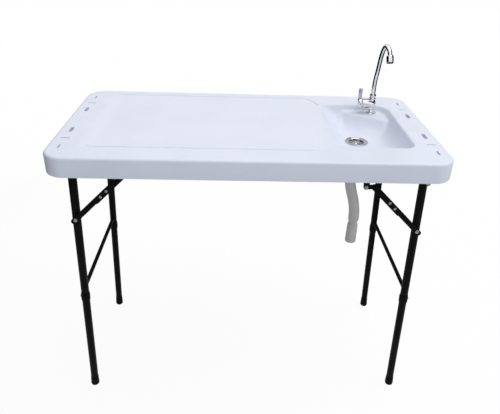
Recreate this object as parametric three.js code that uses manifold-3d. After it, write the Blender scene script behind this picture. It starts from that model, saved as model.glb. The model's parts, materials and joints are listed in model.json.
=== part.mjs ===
// Fish cleaning table: a hollow plastic top with a wash basin, faucet and drain, on two folding leg frames.
// Millimetres. +X runs along the table to the basin end, +Y to the back edge, +Z up. The origin is on the
// floor under the middle of the top. Left and right are the two ends, front is where the user stands.
import * as THREE from "three";
import { mergeVertices } from "three/addons/utils/BufferGeometryUtils.js";
import Module from "manifold-3d";

const wasm = await Module();
wasm.setup();

// Driving dimensions

const gap = 0.3; // between pieces that touch
const play = 0.5; // between pieces that slide or turn past each other
const overrun = 5; // how far a cut runs past the face that it opens
const weld = 1e-4; // corners nearer to each other than this are one
const mesh = {
  sides: 20,
  boltSides: 10,
  hexSides: 6,
  cornerSteps: 5,
  edgeSteps: 3,
  spoutSides: 12,
  spoutSteps: 24,
  hoseSides: 12,
  hoseSteps: 4,
};

const top = {
  length: 1150,
  width: 600,
  height: 940,
  skirt: 61,
  corner: 60,
  edge: 8,
  hem: 3,
  wall: 3.5,
  deck: 22,
  blowHole: 5,
};
const recess = { endMargin: 47, sideMargin: 24, corner: 8 };
const panel = { depth: 3, frontMargin: 84, backMargin: 38, endMargin: 82, corner: 24 };

// Places around the basin are distances in from the basin end of the top and from its front or back edge.
const basin = {
  rim: { mouth: 328, end: 87, front: 114, back: 104 },
  floor: { mouth: 275, end: 109, front: 140, back: 118 },
  depth: 62,
  dish: 2,
  rimCorners: [50, 44, 40, 27],
  floorCorners: [40, 34, 30, 26],
};
const ledge = {
  drop: 18,
  drainMargin: 2,
  diagonal: [[283, 118], [235, 142], [187, 167], [149, 187], [117, 206], [83, 218]],
};
const slot = {
  inset: 35,
  width: 5,
  edgeSlit: { reach: 28, edge: 81 },
  crossSlit: { reach: 28, edge: 142 },
  toolSlot: { reach: 38, width: 11, edge: 209 },
};

const rail = { thickness: 2, flange: 25.5, depth: 27, inset: 2.5, endMargin: 4, earThickness: 2.5 };
const leg = {
  radius: 12.5,
  wall: 1.2,
  sideMargin: 52,
  hingeMargin: 15.2,
  lean: 0.039,
  drops: { left: 54, right: 80 },
};
const hinge = { radius: 11, bore: 5.4, ear: { halfWidth: 13, below: 9 }, pin: { radius: 5, reach: 22 } };
const boltHead = { radius: 7.5, height: 3.6 };
const coupler = { low: 392, high: 425, wall: 1.7, button: { radius: 4, proud: 2.6, rise: 17 } };
const crossbar = { height: 442, radius: 6.5 };
const foot = { height: 38, wall: 1.7, sole: 6, round: 4, toe: 2.6 };

const brace = {
  legBolt: 176,
  heel: 7,
  toe: 8,
  pivot: [-77.8, -92],
  pin: [-175.8, -20],
  knee: [-150.8, -20],
  stud: [-96, -73],
  tail: [-63, -107],
  upperWidth: 19,
  lowerWidth: 17,
  thickness: 2.5,
  standOff: 2.5,
  spread: 3.3,
  ear: { halfWidth: 18, below: 7.5 },
  bolt: { radius: 3, head: 6, height: 2.2 },
};

const faucet = {
  inward: 143,
  edge: 130,
  flange: { radius: 19.5, height: 4 },
  column: { radius: 10.2, collar: 13, height: 50 },
  shank: { radius: 7.5, length: 34, bore: 4.5 },
  nut: { radius: 10.6, height: 18 },
  lockNut: { radius: 15, height: 7 },
  branch: { radius: 15.3, reach: 36, back: 11, height: 34 },
  spout: { radius: 7.2, wall: 1.2, reach: 86, rise: 190, azimuth: -1.4 },
  aerator: { radius: 11.5, cover: 12, drop: 10, bore: 8.5, screen: 2, outlet: 4 },
  lever: { hub: 17, hubLength: 14, width: 12, thickness: 7, height: 53 },
};
// The front of the ledge as shares of its run and of its fall, foot first.
const ledgeShares = [
  [1, 1],
  [0.45, 0.78],
  [0.18, 0.4],
  [0, 0],
];
const spoutShares = [
  [0, 0],
  [0.01, 0.32],
  [0.12, 0.55],
  [0.22, 0.78],
  [0.35, 0.92],
  [0.53, 1],
  [0.76, 0.98],
  [0.92, 0.92],
  [0.96, 0.876],
  [1, 0.83],
];

const drain = {
  inward: 220,
  across: 8,
  flange: { radius: 37.5, thickness: 2.6, bowl: 24, bowlDepth: 9, throat: 22.5 },
  tube: { radius: 24, length: 30 },
  bar: { width: 4.5, height: 3, hub: 7 },
  nut: { radius: 33, height: 9 },
  body: { radius: 27.5, height: 34, neck: 16, neckHeight: 18, wall: 2.4 },
  clamp: { wall: 1.8, height: 9, screw: 4, screwReach: 12 },
};
const hose = { radius: 19 };
const cuff = {
  neck: 15.5,
  neckLength: 7,
  shoulder: 18.5,
  shoulderLength: 12,
  bottom: 20,
  length: 85,
  wall: 2.4,
};

// How far the hose has swung towards the basin end, and how far down it is below the trap's neck.
const hoseRoute = [
  [0, 0.3],
  [0, 7.9],
  [0, 15.9],
  [-3, 45.9],
  [-3, 75.9],
  [6, 115.9],
  [17, 150.9],
  [25, 185.9],
  [28, 215.9],
  [28, 238.9],
];

// How far up the bowl's foot curve ends, and how far in the wall stands there.
const bowlRiseShare = 0.14;
const bowlFootShare = 0.86;

// Where the panel's front and back lines leave off, and where they bend, along the way to the basin.
const panelFrontShares = [0.66, 0.9];
const panelBackShares = [0.74, 0.93];

// Colours and finishes

const finishes = {
  plastic: { color: 0xe6eaf2, roughness: 0.45, metalness: 0 },
  blackSteel: { color: 0x1c1c1d, roughness: 0.42, metalness: 0.2 },
  blackPlastic: { color: 0x151516, roughness: 0.6, metalness: 0 },
  chrome: { color: 0xd8dbe0, roughness: 0.12, metalness: 1 },
  stainless: { color: 0xc4c7cc, roughness: 0.25, metalness: 1 },
  zinc: { color: 0xb9bcc0, roughness: 0.35, metalness: 1 },
  hosePlastic: { color: 0x9c9ca0, roughness: 0.5, metalness: 0 },
};

// Places worked out from the driving dimensions

const deckUnder = top.height - top.deck;
const skirtBottom = top.height - top.skirt;
const recessHalf = { x: top.length / 2 - recess.endMargin, y: top.width / 2 - recess.sideMargin };
const ledgeHeight = top.height - ledge.drop;
const floorHeight = top.height - basin.depth;
const fromEnd = (inward) => top.length / 2 - inward;
const fromBack = (inward) => top.width / 2 - inward;
const basinRim = basinRect(basin.rim);
const basinFloor = basinRect(basin.floor);
const ledgeLine = ledge.diagonal.map(([inward, edge]) => [fromEnd(inward), fromBack(edge)]);
const drainPlace = [fromEnd(drain.inward), drain.across];
const faucetPlace = [fromEnd(faucet.inward), fromBack(faucet.edge)];
const ledgeStart = new THREE.Vector2(...ledgeLine[0]);
const ledgeAlong = new THREE.Vector2(...ledgeLine[ledgeLine.length - 1]).sub(ledgeStart).normalize();
const ledgeToDrain = Math.abs(new THREE.Vector2(...drainPlace).sub(ledgeStart).cross(ledgeAlong));
const ledgeRun = ledgeToDrain - drain.flange.radius - ledge.drainMargin;
const legSpread = recessHalf.y - leg.sideMargin;
const hingeReach = recessHalf.x - leg.hingeMargin;
const legOuter = legSpread + leg.radius;
const plane = {
  lower: legOuter + brace.standOff,
  upper: legOuter + brace.standOff + brace.thickness + brace.spread,
};
plane.ear = plane.upper + brace.thickness + play;
const hingeEarFace = plane.ear + rail.earThickness + brace.bolt.height * 2;
const sides = [
  { name: "left", way: -1, hingeHeight: top.height - leg.drops.left },
  { name: "right", way: 1, hingeHeight: top.height - leg.drops.right },
];
const ends = [
  { name: "front", way: -1 },
  { name: "rear", way: 1 },
];

// Solid helpers

// A three.js geometry as a closed solid, with its shared corners merged.
function solidOf(geometry) {
  const bare = geometry.index ? geometry.toNonIndexed() : geometry.clone();
  bare.deleteAttribute("normal");
  bare.deleteAttribute("uv");
  const merged = mergeVertices(bare, weld);
  const vertProperties = merged.attributes.position.array;
  const triVerts = new Uint32Array(merged.index.array);
  return new wasm.Manifold(new wasm.Mesh({ numProp: 3, vertProperties, triVerts }));
}

function geometryOf(solid) {
  const { numProp, vertProperties, triVerts } = solid.getMesh();
  const positions = new Float32Array((vertProperties.length / numProp) * 3);
  for (let i = 0; i < positions.length / 3; i++) {
    positions.set(vertProperties.subarray(i * numProp, i * numProp + 3), i * 3);
  }
  const geometry = new THREE.BufferGeometry();
  geometry.setAttribute("position", new THREE.BufferAttribute(positions, 3));
  geometry.setIndex(new THREE.BufferAttribute(new Uint32Array(triVerts), 1));
  const flat = geometry.toNonIndexed();
  flat.computeVertexNormals();
  return flat;
}

// A closed skin over rings of equal counts, lowest first, each counter-clockwise from above.
// floorPoint and roofPoint are the middles of the two end caps.
function loft(rings, floorPoint, roofPoint) {
  const count = rings[0].length;
  const points = rings.flat().concat([floorPoint, roofPoint]);
  const floorIndex = points.length - 2;
  const roofIndex = points.length - 1;
  const index = [];
  for (let level = 0; level < rings.length - 1; level++) {
    for (let i = 0; i < count; i++) {
      const next = (i + 1) % count;
      const [a, b] = [level * count + i, level * count + next];
      index.push(a, b, b + count, a, b + count, a + count);
    }
  }
  const last = (rings.length - 1) * count;
  for (let i = 0; i < count; i++) {
    const next = (i + 1) % count;
    index.push(floorIndex, next, i, roofIndex, last + i, last + next);
  }
  const geometry = new THREE.BufferGeometry().setFromPoints(points);
  geometry.setIndex(index);
  return solidOf(geometry);
}

// A ring of a rectangle with round corners; the radii go back right, back left, front left, front right.
function rectRing(rect, radii, height) {
  const corners = [
    [rect.right, rect.back, -1, -1],
    [rect.left, rect.back, 1, -1],
    [rect.left, rect.front, 1, 1],
    [rect.right, rect.front, -1, 1],
  ];
  return corners.flatMap(([x, y, inX, inY], corner) => {
    const radius = radii[corner];
    return Array.from({ length: mesh.cornerSteps + 1 }, (_, step) => {
      const angle = (Math.PI / 2) * (corner + step / mesh.cornerSteps);
      const [cx, cy] = [x + inX * radius, y + inY * radius];
      return new THREE.Vector3(cx + radius * Math.cos(angle), cy + radius * Math.sin(angle), height);
    });
  });
}

function rectLoft(levels) {
  const rings = levels.map((level) => rectRing(level.rect, level.radii, level.height));
  const middle = ({ rect, height }) =>
    new THREE.Vector3((rect.left + rect.right) / 2, (rect.front + rect.back) / 2, height);
  return loft(rings, levels[0].floorPoint ?? middle(levels[0]), middle(levels[levels.length - 1]));
}

function basinRect({ mouth, end, front, back }) {
  return { left: fromEnd(mouth), right: fromEnd(end), front: -fromBack(front), back: fromBack(back) };
}

function grow(rect, by) {
  return { left: rect.left - by, right: rect.right + by, front: rect.front - by, back: rect.back + by };
}

// A prism of a plan outline between two heights.
function prism(shape, low, high) {
  const geometry = new THREE.ExtrudeGeometry(shape, {
    depth: high - low,
    bevelEnabled: false,
    curveSegments: mesh.cornerSteps,
  });
  return solidOf(geometry.translate(0, 0, low));
}

function shapeOf(points) {
  return new THREE.Shape(points.map(([x, y]) => new THREE.Vector2(x, y)));
}

// A solid of revolution about Z from a closed profile of radius and height pairs.
function turned(profile, segments = mesh.sides) {
  const points = profile.map(([radius, height]) => new THREE.Vector2(radius, height));
  return solidOf(new THREE.LatheGeometry(points.concat([points[0]]), segments).rotateX(Math.PI / 2));
}

function disc(radius, low, high, segments = mesh.sides) {
  return turned([[0, low], [radius, low], [radius, high], [0, high]], segments);
}

function ring(inner, outer, low, high, segments = mesh.sides) {
  return turned([[inner, low], [outer, low], [outer, high], [inner, high]], segments);
}

// A six-sided nut about Z with a round bore.
function hexNut(bore, radius, low, high) {
  return disc(radius, low, high, mesh.hexSides).subtract(disc(bore, low - overrun, high + overrun));
}

function moved(solid, x, y, z) {
  return solidOf(geometryOf(solid).translate(x, y, z));
}

function alongX(solid) {
  return solidOf(geometryOf(solid).rotateY(Math.PI / 2));
}

function box(rect, low, high) {
  const { left, right, front, back } = rect;
  return prism(shapeOf([[left, front], [right, front], [right, back], [left, back]]), low, high);
}

const table = new THREE.Group();

function add(parent, name, finish, solid) {
  const piece = new THREE.Mesh(geometryOf(solid), new THREE.MeshStandardMaterial(finishes[finish]));
  piece.name = name;
  parent.add(piece);
  return piece;
}

// Plastic top

const topRect = { left: -top.length / 2, right: top.length / 2, front: -top.width / 2, back: top.width / 2 };

function topLevel(inset, height) {
  return { rect: grow(topRect, -inset), radii: Array(4).fill(top.corner - inset), height };
}

// The outer block with its rounded top edge and hem, or the same drawn in by a wall for the hollow inside.
function topBlock(inset, roofDrop) {
  const levels = [];
  for (let step = 0; step <= mesh.edgeSteps; step++) {
    const angle = (Math.PI / 2) * (step / mesh.edgeSteps);
    const height = skirtBottom + inset + top.hem * (1 - Math.cos(angle));
    levels.push(topLevel(inset + top.hem * (1 - Math.sin(angle)), height));
  }
  for (let step = 0; step <= mesh.edgeSteps; step++) {
    const angle = (Math.PI / 2) * (step / mesh.edgeSteps);
    const height = top.height - roofDrop - top.edge * (1 - Math.sin(angle));
    levels.push(topLevel(inset + top.edge * (1 - Math.cos(angle)), height));
  }
  return rectLoft(levels);
}

// The space under the deck that takes the folded legs.
function legSpace(grownBy) {
  const rect = { left: -recessHalf.x, right: recessHalf.x, front: -recessHalf.y, back: recessHalf.y };
  const radii = Array(4).fill(recess.corner + grownBy);
  const low = { rect: grow(rect, grownBy), radii, height: skirtBottom - overrun };
  return rectLoft([low, { ...low, height: deckUnder + grownBy }]);
}

// The basin's hollow, or its outer face when it is grown by the wall.
function basinBowl(grownBy, roof) {
  const between = (share) => {
    const rect = {};
    for (const edge of Object.keys(basinRim)) {
      rect[edge] = THREE.MathUtils.lerp(basinRim[edge], basinFloor[edge], share);
    }
    const { rimCorners, floorCorners } = basin;
    const radii = rimCorners.map((radius, i) => THREE.MathUtils.lerp(radius, floorCorners[i], share));
    return { rect: grow(rect, grownBy), radii: radii.map((radius) => radius + grownBy) };
  };
  const floorPoint = new THREE.Vector3(...drainPlace, floorHeight - basin.dish - grownBy);
  const levels = [{ ...between(1), height: floorHeight - grownBy, floorPoint }];
  for (let step = 0; step <= mesh.edgeSteps; step++) {
    const share = step / mesh.edgeSteps;
    const height = floorHeight - grownBy + basin.depth * (bowlRiseShare + (1 - bowlRiseShare) * share);
    levels.push({ ...between((1 - share) * bowlFootShare), height: Math.min(height, top.height - grownBy) });
  }
  levels.push({ ...between(0), height: roof });
  return rectLoft(levels);
}

// The block under the faucet's ledge, whose front runs down to the basin's floor in three slopes.
function ledgeBlock(setBack, low, high) {
  const rear = basinRim.back + basin.rimCorners[0];
  const right = basinRim.right + basin.rimCorners[0];
  const fall = ledgeHeight - floorHeight + basin.dish;
  const ringAt = (runShare, height) => {
    const ahead = ledgeRun * runShare;
    const [shiftX, shiftY] = [setBack + ahead * ledgeAlong.y, setBack - ahead * ledgeAlong.x];
    const line = ledgeLine.map(([x, y]) => [x + shiftX, y + shiftY]);
    const outline = [[line[0][0], rear], ...line, [right, line[line.length - 1][1]], [right, rear]];
    return outline.map(([x, y]) => new THREE.Vector3(x, y, height));
  };
  const steps = ledgeShares.map(([runShare, fallShare]) => ringAt(runShare, high - fall * fallShare));
  const rings = [ringAt(1, low), ...steps];
  const middle = (ring) => new THREE.Box3().setFromPoints(ring).getCenter(new THREE.Vector3());
  return loft(rings, middle(rings[0]), middle(rings[rings.length - 1]));
}

// The plan of the shallow working panel, whose basin end narrows to the basin's rim.
function panelShape() {
  const left = -top.length / 2 + panel.endMargin;
  const front = -top.width / 2 + panel.frontMargin;
  const back = top.width / 2 - panel.backMargin;
  const mouth = basinRim.left + top.edge;
  const { front: rimFront, back: rimBack } = basinRim;
  const shape = new THREE.Shape();
  shape.moveTo(left + panel.corner, front);
  const [frontLeave, frontBend] = panelFrontShares.map((share) => share * mouth);
  const [backLeave, backBend] = panelBackShares.map((share) => share * mouth);
  shape.lineTo(frontLeave, front);
  shape.bezierCurveTo(frontBend, front, frontBend, rimFront, mouth, rimFront + top.edge);
  shape.lineTo(mouth, rimBack - top.edge);
  shape.bezierCurveTo(backBend, rimBack, backBend, back, backLeave, back);
  shape.lineTo(left + panel.corner, back);
  shape.absarc(left + panel.corner, back - panel.corner, panel.corner, Math.PI / 2, Math.PI, false);
  shape.absarc(left + panel.corner, front + panel.corner, panel.corner, Math.PI, Math.PI * 1.5, false);
  return shape;
}

// The knife and tool slots at both ends, mirrored front and back.
function slotRects(grownBy) {
  const rects = [];
  for (const wayX of [-1, 1]) {
    for (const wayY of [-1, 1]) {
      const x = wayX * (top.length / 2 - slot.inset);
      const around = (halfX, halfY, edge) => {
        const y = wayY * fromBack(edge);
        rects.push(grow({ left: x - halfX, right: x + halfX, front: y - halfY, back: y + halfY }, grownBy));
      };
      around(slot.width / 2, slot.edgeSlit.reach / 2, slot.edgeSlit.edge);
      around(slot.crossSlit.reach / 2, slot.width / 2, slot.crossSlit.edge);
      around(slot.toolSlot.width / 2, slot.toolSlot.reach / 2, slot.toolSlot.edge);
    }
  }
  return rects;
}

function slots(grownBy) {
  return slotRects(grownBy)
    .map((rect) => box(rect, skirtBottom - overrun, top.height + overrun))
    .reduce((all, one) => all.add(one));
}

function tabletop() {
  const overTop = top.height + overrun;
  const underTop = floorHeight - top.wall - basin.dish - overrun;
  const bowl = basinBowl(0, overTop).subtract(ledgeBlock(0, underTop, ledgeHeight));
  const blowHole = disc(top.blowHole, deckUnder - overrun, deckUnder + top.wall + overrun, mesh.boltSides);
  const drainHole = moved(disc(drain.tube.radius + gap, underTop, ledgeHeight), ...drainPlace, 0);
  const faucetHole = moved(disc(faucet.shank.radius + gap, underTop, overTop), ...faucetPlace, 0);
  const hollow = topBlock(top.wall, top.wall + panel.depth)
    .subtract(legSpace(top.wall))
    .subtract(basinBowl(top.wall, overTop))
    .subtract(slots(top.wall));
  return topBlock(0, 0)
    .subtract(legSpace(0))
    .add(basinBowl(top.wall, top.height))
    .subtract(ledgeBlock(top.wall, underTop, deckUnder))
    .subtract(bowl)
    .subtract(prism(panelShape(), top.height - panel.depth, overTop))
    .subtract(hollow)
    .subtract(slots(0))
    .subtract(blowHole)
    .subtract(drainHole)
    .subtract(faucetHole);
}

add(table, "tabletop", "plastic", tabletop());

// Steel side rails with the ears that carry the hinges and the braces

// The Y span of a layer that lies between two distances from the middle, on the front or the rear side.
function span(end, near, far) {
  return end.way > 0 ? [near, far] : [-far, -near];
}

// A plate cut from an outline in X and Z, filling a Y span.
function plate(shape, [low, high]) {
  const geometry = new THREE.ExtrudeGeometry(shape, {
    depth: high - low,
    bevelEnabled: false,
    curveSegments: mesh.boltSides / 2,
  });
  return solidOf(geometry.rotateX(Math.PI / 2).translate(0, high, 0));
}

// A round bar along Y at a place in X and Z, filling a Y span.
function pin([x, z], radius, [low, high], segments = mesh.boltSides) {
  const length = high - low;
  const geometry = new THREE.CylinderGeometry(radius, radius, length, segments);
  return solidOf(geometry.translate(x, low + length / 2, z));
}

function stadium(from, to, radius) {
  const angle = Math.atan2(to[1] - from[1], to[0] - from[0]);
  const shape = new THREE.Shape();
  shape.absarc(...from, radius, angle + Math.PI / 2, angle + Math.PI * 1.5, false);
  shape.absarc(...to, radius, angle - Math.PI / 2, angle + Math.PI / 2, false);
  return shape;
}

// An ear that hangs from a height and ends in a round tip about a hole.
function ear([x, z], from, halfWidth, tip, hole) {
  const shape = new THREE.Shape();
  shape.moveTo(x - halfWidth, from);
  shape.lineTo(x - tip, z);
  shape.absarc(x, z, tip, Math.PI, Math.PI * 2, false);
  shape.lineTo(x + halfWidth, from);
  shape.closePath();
  const opening = new THREE.Path();
  opening.absarc(x, z, hole, 0, Math.PI * 2, true);
  shape.holes.push(opening);
  return shape;
}

function bracePoint(side, [outward, up]) {
  return [side.way * (hingeReach + outward), side.hingeHeight + up];
}

function sideRail(end) {
  const railTop = deckUnder - gap;
  const outer = recessHalf.y - rail.inset;
  const reach = recessHalf.x - rail.endMargin;
  const flat = ([low, high]) => ({ left: -reach, right: reach, front: low, back: high });
  let solid = box(flat(span(end, outer - rail.flange, outer)), railTop - rail.thickness, railTop);
  solid = solid.add(box(flat(span(end, outer - rail.thickness, outer)), railTop - rail.depth, railTop));
  for (const side of sides) {
    const hingePlace = [side.way * hingeReach, side.hingeHeight];
    const { halfWidth, below } = hinge.ear;
    const hingeEar = ear(hingePlace, railTop, halfWidth, below, hinge.pin.radius + gap);
    solid = solid.add(plate(hingeEar, span(end, hingeEarFace, hingeEarFace + rail.earThickness)));
    const hole = brace.bolt.radius + gap;
    const braceEar = ear(bracePoint(side, brace.pin), railTop, brace.ear.halfWidth, brace.ear.below, hole);
    solid = solid.add(plate(braceEar, span(end, plane.ear, plane.ear + rail.earThickness)));
  }
  return solid;
}

for (const end of ends) {
  add(table, `side_rail_${end.name}`, "blackSteel", sideRail(end));
  for (const side of sides) {
    const place = [side.way * hingeReach, side.hingeHeight];
    const seat = hingeEarFace + rail.earThickness + gap;
    const head = pin(place, boltHead.radius, span(end, seat, seat + boltHead.height));
    const shank = pin(place, hinge.pin.radius, span(end, seat - hinge.pin.reach, seat));
    add(table, `hinge_bolt_${end.name}_${side.name}`, "zinc", head.add(shank));
    const earSeat = plane.ear + rail.earThickness + gap;
    const pinPlace = bracePoint(side, brace.pin);
    const pinHead = pin(pinPlace, brace.bolt.head, span(end, earSeat, earSeat + brace.bolt.height));
    const pinShank = pin(pinPlace, brace.bolt.radius, span(end, plane.ear, earSeat));
    add(table, `brace_ear_bolt_${end.name}_${side.name}`, "zinc", pinHead.add(pinShank));
  }
}

// Folding leg frames, each built with its hinge at the origin and its legs straight down, then leaned outward

function legFrame(side) {
  const frame = new THREE.Group();
  frame.position.set(side.way * hingeReach, 0, side.hingeHeight);
  frame.rotation.y = -side.way * leg.lean;
  table.add(frame);
  const down = (height) => -(side.hingeHeight - height) / Math.cos(leg.lean);
  const seam = down((coupler.low + coupler.high) / 2);
  const floorAt = (x) => -(side.hingeHeight + side.way * x * Math.sin(leg.lean)) / Math.cos(leg.lean);
  const hingeEnd = hingeEarFace - play;
  const hingeTube = pin([0, 0], hinge.radius, [-hingeEnd, hingeEnd], mesh.sides)
    .subtract(pin([0, 0], hinge.bore, [-hingeEnd - overrun, hingeEnd + overrun]));
  add(frame, `hinge_tube_${side.name}`, "blackSteel", hingeTube);
  const saddle = pin([0, 0], hinge.radius + gap, [-hingeEnd, hingeEnd], mesh.sides);
  const bolt = [0, -brace.legBolt];
  const barPlace = [0, down(crossbar.height)];
  let bar = pin(barPlace, crossbar.radius, [-legSpread, legSpread]);
  for (const end of ends) {
    const y = end.way * legSpread;
    const label = `${end.name}_${side.name}`;
    const boltSpan = span(end, legSpread - leg.radius * 2, legSpread + leg.radius * 2);
    const boltHole = pin(bolt, brace.bolt.radius + gap, boltSpan);
    const tube = (low, high) => moved(ring(leg.radius - leg.wall, leg.radius, low, high), 0, y, 0);
    add(frame, `upper_leg_${label}`, "blackSteel", tube(seam + gap, 0).subtract(saddle).subtract(boltHole));
    add(frame, `lower_leg_${label}`, "blackSteel", tube(floorAt(0) + foot.sole + gap, seam - gap));
    const legHole = disc(leg.radius + gap, barPlace[1] - leg.radius, barPlace[1] + leg.radius);
    bar = bar.subtract(moved(legHole, 0, y, 0));
    add(frame, `leg_coupler_${label}`, "blackPlastic", moved(legCoupler(side, down), 0, y, 0));
    add(frame, `foot_cap_${label}`, "blackPlastic", moved(footCap(floorAt), 0, y, 0));
    add(frame, `leg_bolt_${label}`, "zinc", legBolt(end, bolt));
  }
  add(frame, `crossbar_${side.name}`, "blackSteel", bar);
}

function legCoupler(side, down) {
  const inner = leg.radius + gap;
  const outer = inner + coupler.wall;
  const { radius, proud, rise } = coupler.button;
  const button = moved(alongX(disc(radius, 0, outer + proud, mesh.boltSides)), 0, 0, down(coupler.low + rise));
  const facing = side.way > 0 ? button : solidOf(geometryOf(button).rotateZ(Math.PI));
  const sleeve = disc(outer, down(coupler.low), down(coupler.high)).add(facing);
  return sleeve.subtract(disc(inner, down(coupler.low) - overrun, down(coupler.high) + overrun));
}

// The cap's sole lies flat on the floor, so its lower rings are cut to the frame's lean.
function footCap(floorAt) {
  const inner = leg.radius + gap;
  const outer = inner + foot.wall;
  const level = (radius, rise) =>
    Array.from({ length: mesh.sides }, (_, i) => {
      const angle = (Math.PI * 2 * i) / mesh.sides;
      const [x, y] = [radius * Math.cos(angle), radius * Math.sin(angle)];
      return new THREE.Vector3(x, y, floorAt(x) + rise);
    });
  const middle = (rise) => new THREE.Vector3(0, 0, floorAt(0) + rise);
  const rings = [level(outer - foot.toe, 0), level(outer, foot.round), level(outer, foot.height)];
  const shell = loft(rings, middle(0), middle(foot.height));
  return shell.subtract(disc(inner, floorAt(0) + foot.sole, floorAt(0) + foot.height + overrun));
}

function legBolt(end, place) {
  const { radius, head, height } = brace.bolt;
  const outerFace = plane.lower + brace.thickness + gap;
  const innerFace = legSpread - leg.radius - gap;
  const shank = pin(place, radius, span(end, innerFace - height, outerFace + height));
  const cap = pin(place, head, span(end, outerFace, outerFace + height));
  const washer = pin(place, head, span(end, legOuter + gap, plane.lower - gap));
  const nut = pin(place, head, span(end, innerFace - height * 2, innerFace), mesh.boltSides / 2);
  return shank.add(cap).add(washer).add(nut);
}

for (const side of sides) legFrame(side);

// Folding braces: a lower link on each leg bolt, riveted to a cranked upper link that ends at the rail's ear

function legBoltPlace(side) {
  const { way, hingeHeight } = side;
  const [outward, below] = [brace.legBolt * Math.sin(leg.lean), brace.legBolt * Math.cos(leg.lean)];
  return [way * (hingeReach + outward), hingeHeight - below];
}

// A point that lies a length beyond one end of a link.
function beyond(from, to, length) {
  const angle = Math.atan2(to[1] - from[1], to[0] - from[0]);
  return [to[0] + length * Math.cos(angle), to[1] + length * Math.sin(angle)];
}

function lowerLink(end, bolt, pivot) {
  const layer = span(end, plane.lower, plane.lower + brace.thickness);
  const hole = brace.bolt.radius + gap;
  const holeSpan = span(end, plane.lower - overrun, plane.upper);
  const bar = stadium(beyond(pivot, bolt, brace.heel), beyond(bolt, pivot, brace.toe), brace.lowerWidth / 2);
  return plate(bar, layer)
    .subtract(pin(bolt, hole, holeSpan))
    .subtract(pin(pivot, hole, holeSpan));
}

function upperLink(side, end) {
  const layer = span(end, plane.upper, plane.upper + brace.thickness);
  const [pivot, eye, knee, stud, tail] = [brace.pivot, brace.pin, brace.knee, brace.stud, brace.tail]
    .map((point) => bracePoint(side, point));
  const hole = brace.bolt.radius + gap;
  const holeSpan = span(end, plane.upper - overrun, plane.ear + overrun);
  const headTop = plane.upper + brace.thickness + brace.bolt.height;
  const head = pin(stud, brace.bolt.head, span(end, plane.upper, headTop));
  return plate(stadium(tail, knee, brace.upperWidth / 2), layer)
    .add(plate(stadium(knee, eye, brace.ear.below), layer))
    .add(head)
    .subtract(pin(pivot, hole, holeSpan))
    .subtract(pin(eye, hole, holeSpan));
}

function braceRivet(end, pivot) {
  const { radius, head, height } = brace.bolt;
  const rivetHead = height - play;
  const outerFace = plane.upper + brace.thickness + gap;
  const innerFace = plane.lower - gap;
  const shank = pin(pivot, radius, span(end, innerFace, outerFace));
  const spacer = pin(pivot, head, span(end, plane.lower + brace.thickness + gap, plane.upper - gap));
  const outer = pin(pivot, head, span(end, outerFace, outerFace + rivetHead));
  const inner = pin(pivot, head, span(end, innerFace - rivetHead, innerFace));
  return shank.add(spacer).add(outer).add(inner);
}

for (const side of sides) {
  for (const end of ends) {
    const label = `${end.name}_${side.name}`;
    const pivot = bracePoint(side, brace.pivot);
    add(table, `brace_lower_${label}`, "blackSteel", lowerLink(end, legBoltPlace(side), pivot));
    add(table, `brace_upper_${label}`, "blackSteel", upperLink(side, end));
    add(table, `brace_rivet_${label}`, "zinc", braceRivet(end, pivot));
  }
}

// Faucet on the ledge in the basin's back corner

const tap = new THREE.Group();
tap.position.set(...faucetPlace, ledgeHeight);
table.add(tap);

function faucetBody() {
  const { column, shank, flange, branch } = faucet;
  const seat = flange.height + gap * 2;
  const collarTop = seat + flange.height;
  const core = turned([
    [shank.bore, -shank.length],
    [shank.radius, -shank.length],
    [shank.radius, seat],
    [column.collar, seat],
    [column.collar, collarTop],
    [column.radius, collarTop + flange.height],
    [column.radius, column.height],
    [shank.bore, column.height],
  ]);
  const arm = alongX(disc(branch.radius, -branch.reach, branch.back));
  return core.add(moved(arm, 0, 0, branch.height));
}

const spoutBase = faucet.column.height + gap;
const spoutFoot = spoutBase + gap;

function spoutCurve() {
  const { reach, rise, azimuth } = faucet.spout;
  const points = spoutShares.map(([out, up]) => {
    const away = out * reach;
    return new THREE.Vector3(away * Math.cos(azimuth), away * Math.sin(azimuth), spoutFoot + up * rise);
  });
  return new THREE.CatmullRomCurve3(points);
}

// A round tube along a curve; its bore is left out where the wall is the whole radius.
function tubeAlong(curve, radius, wall, sideCount, steps) {
  const section = new THREE.Shape();
  section.absarc(0, 0, radius, 0, Math.PI * 2, false);
  if (wall < radius) {
    const bore = new THREE.Path();
    bore.absarc(0, 0, radius - wall, 0, Math.PI * 2, true);
    section.holes.push(bore);
  }
  const options = { extrudePath: curve, steps, curveSegments: sideCount / 2, bevelEnabled: false };
  return solidOf(new THREE.ExtrudeGeometry(section, options));
}

function aerator() {
  const { radius, cover, drop, bore, screen, outlet } = faucet.aerator;
  const sleeve = faucet.spout.radius + play;
  return turned([
    [sleeve, cover],
    [sleeve, -gap],
    [outlet, -gap],
    [outlet, -gap - screen],
    [bore, -gap - screen],
    [bore, -drop],
    [radius - gap, -drop],
    [radius, screen - drop],
    [radius, cover],
  ]);
}

function lever() {
  const { hub, hubLength, width, thickness, height } = faucet.lever;
  const outerEnd = -faucet.branch.reach - gap - hubLength;
  const knob = alongX(disc(hub, outerEnd, outerEnd + hubLength));
  const rect = { left: outerEnd, right: outerEnd + width, front: -thickness / 2, back: thickness / 2 };
  return knob.add(box(rect, 0, height));
}

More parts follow.
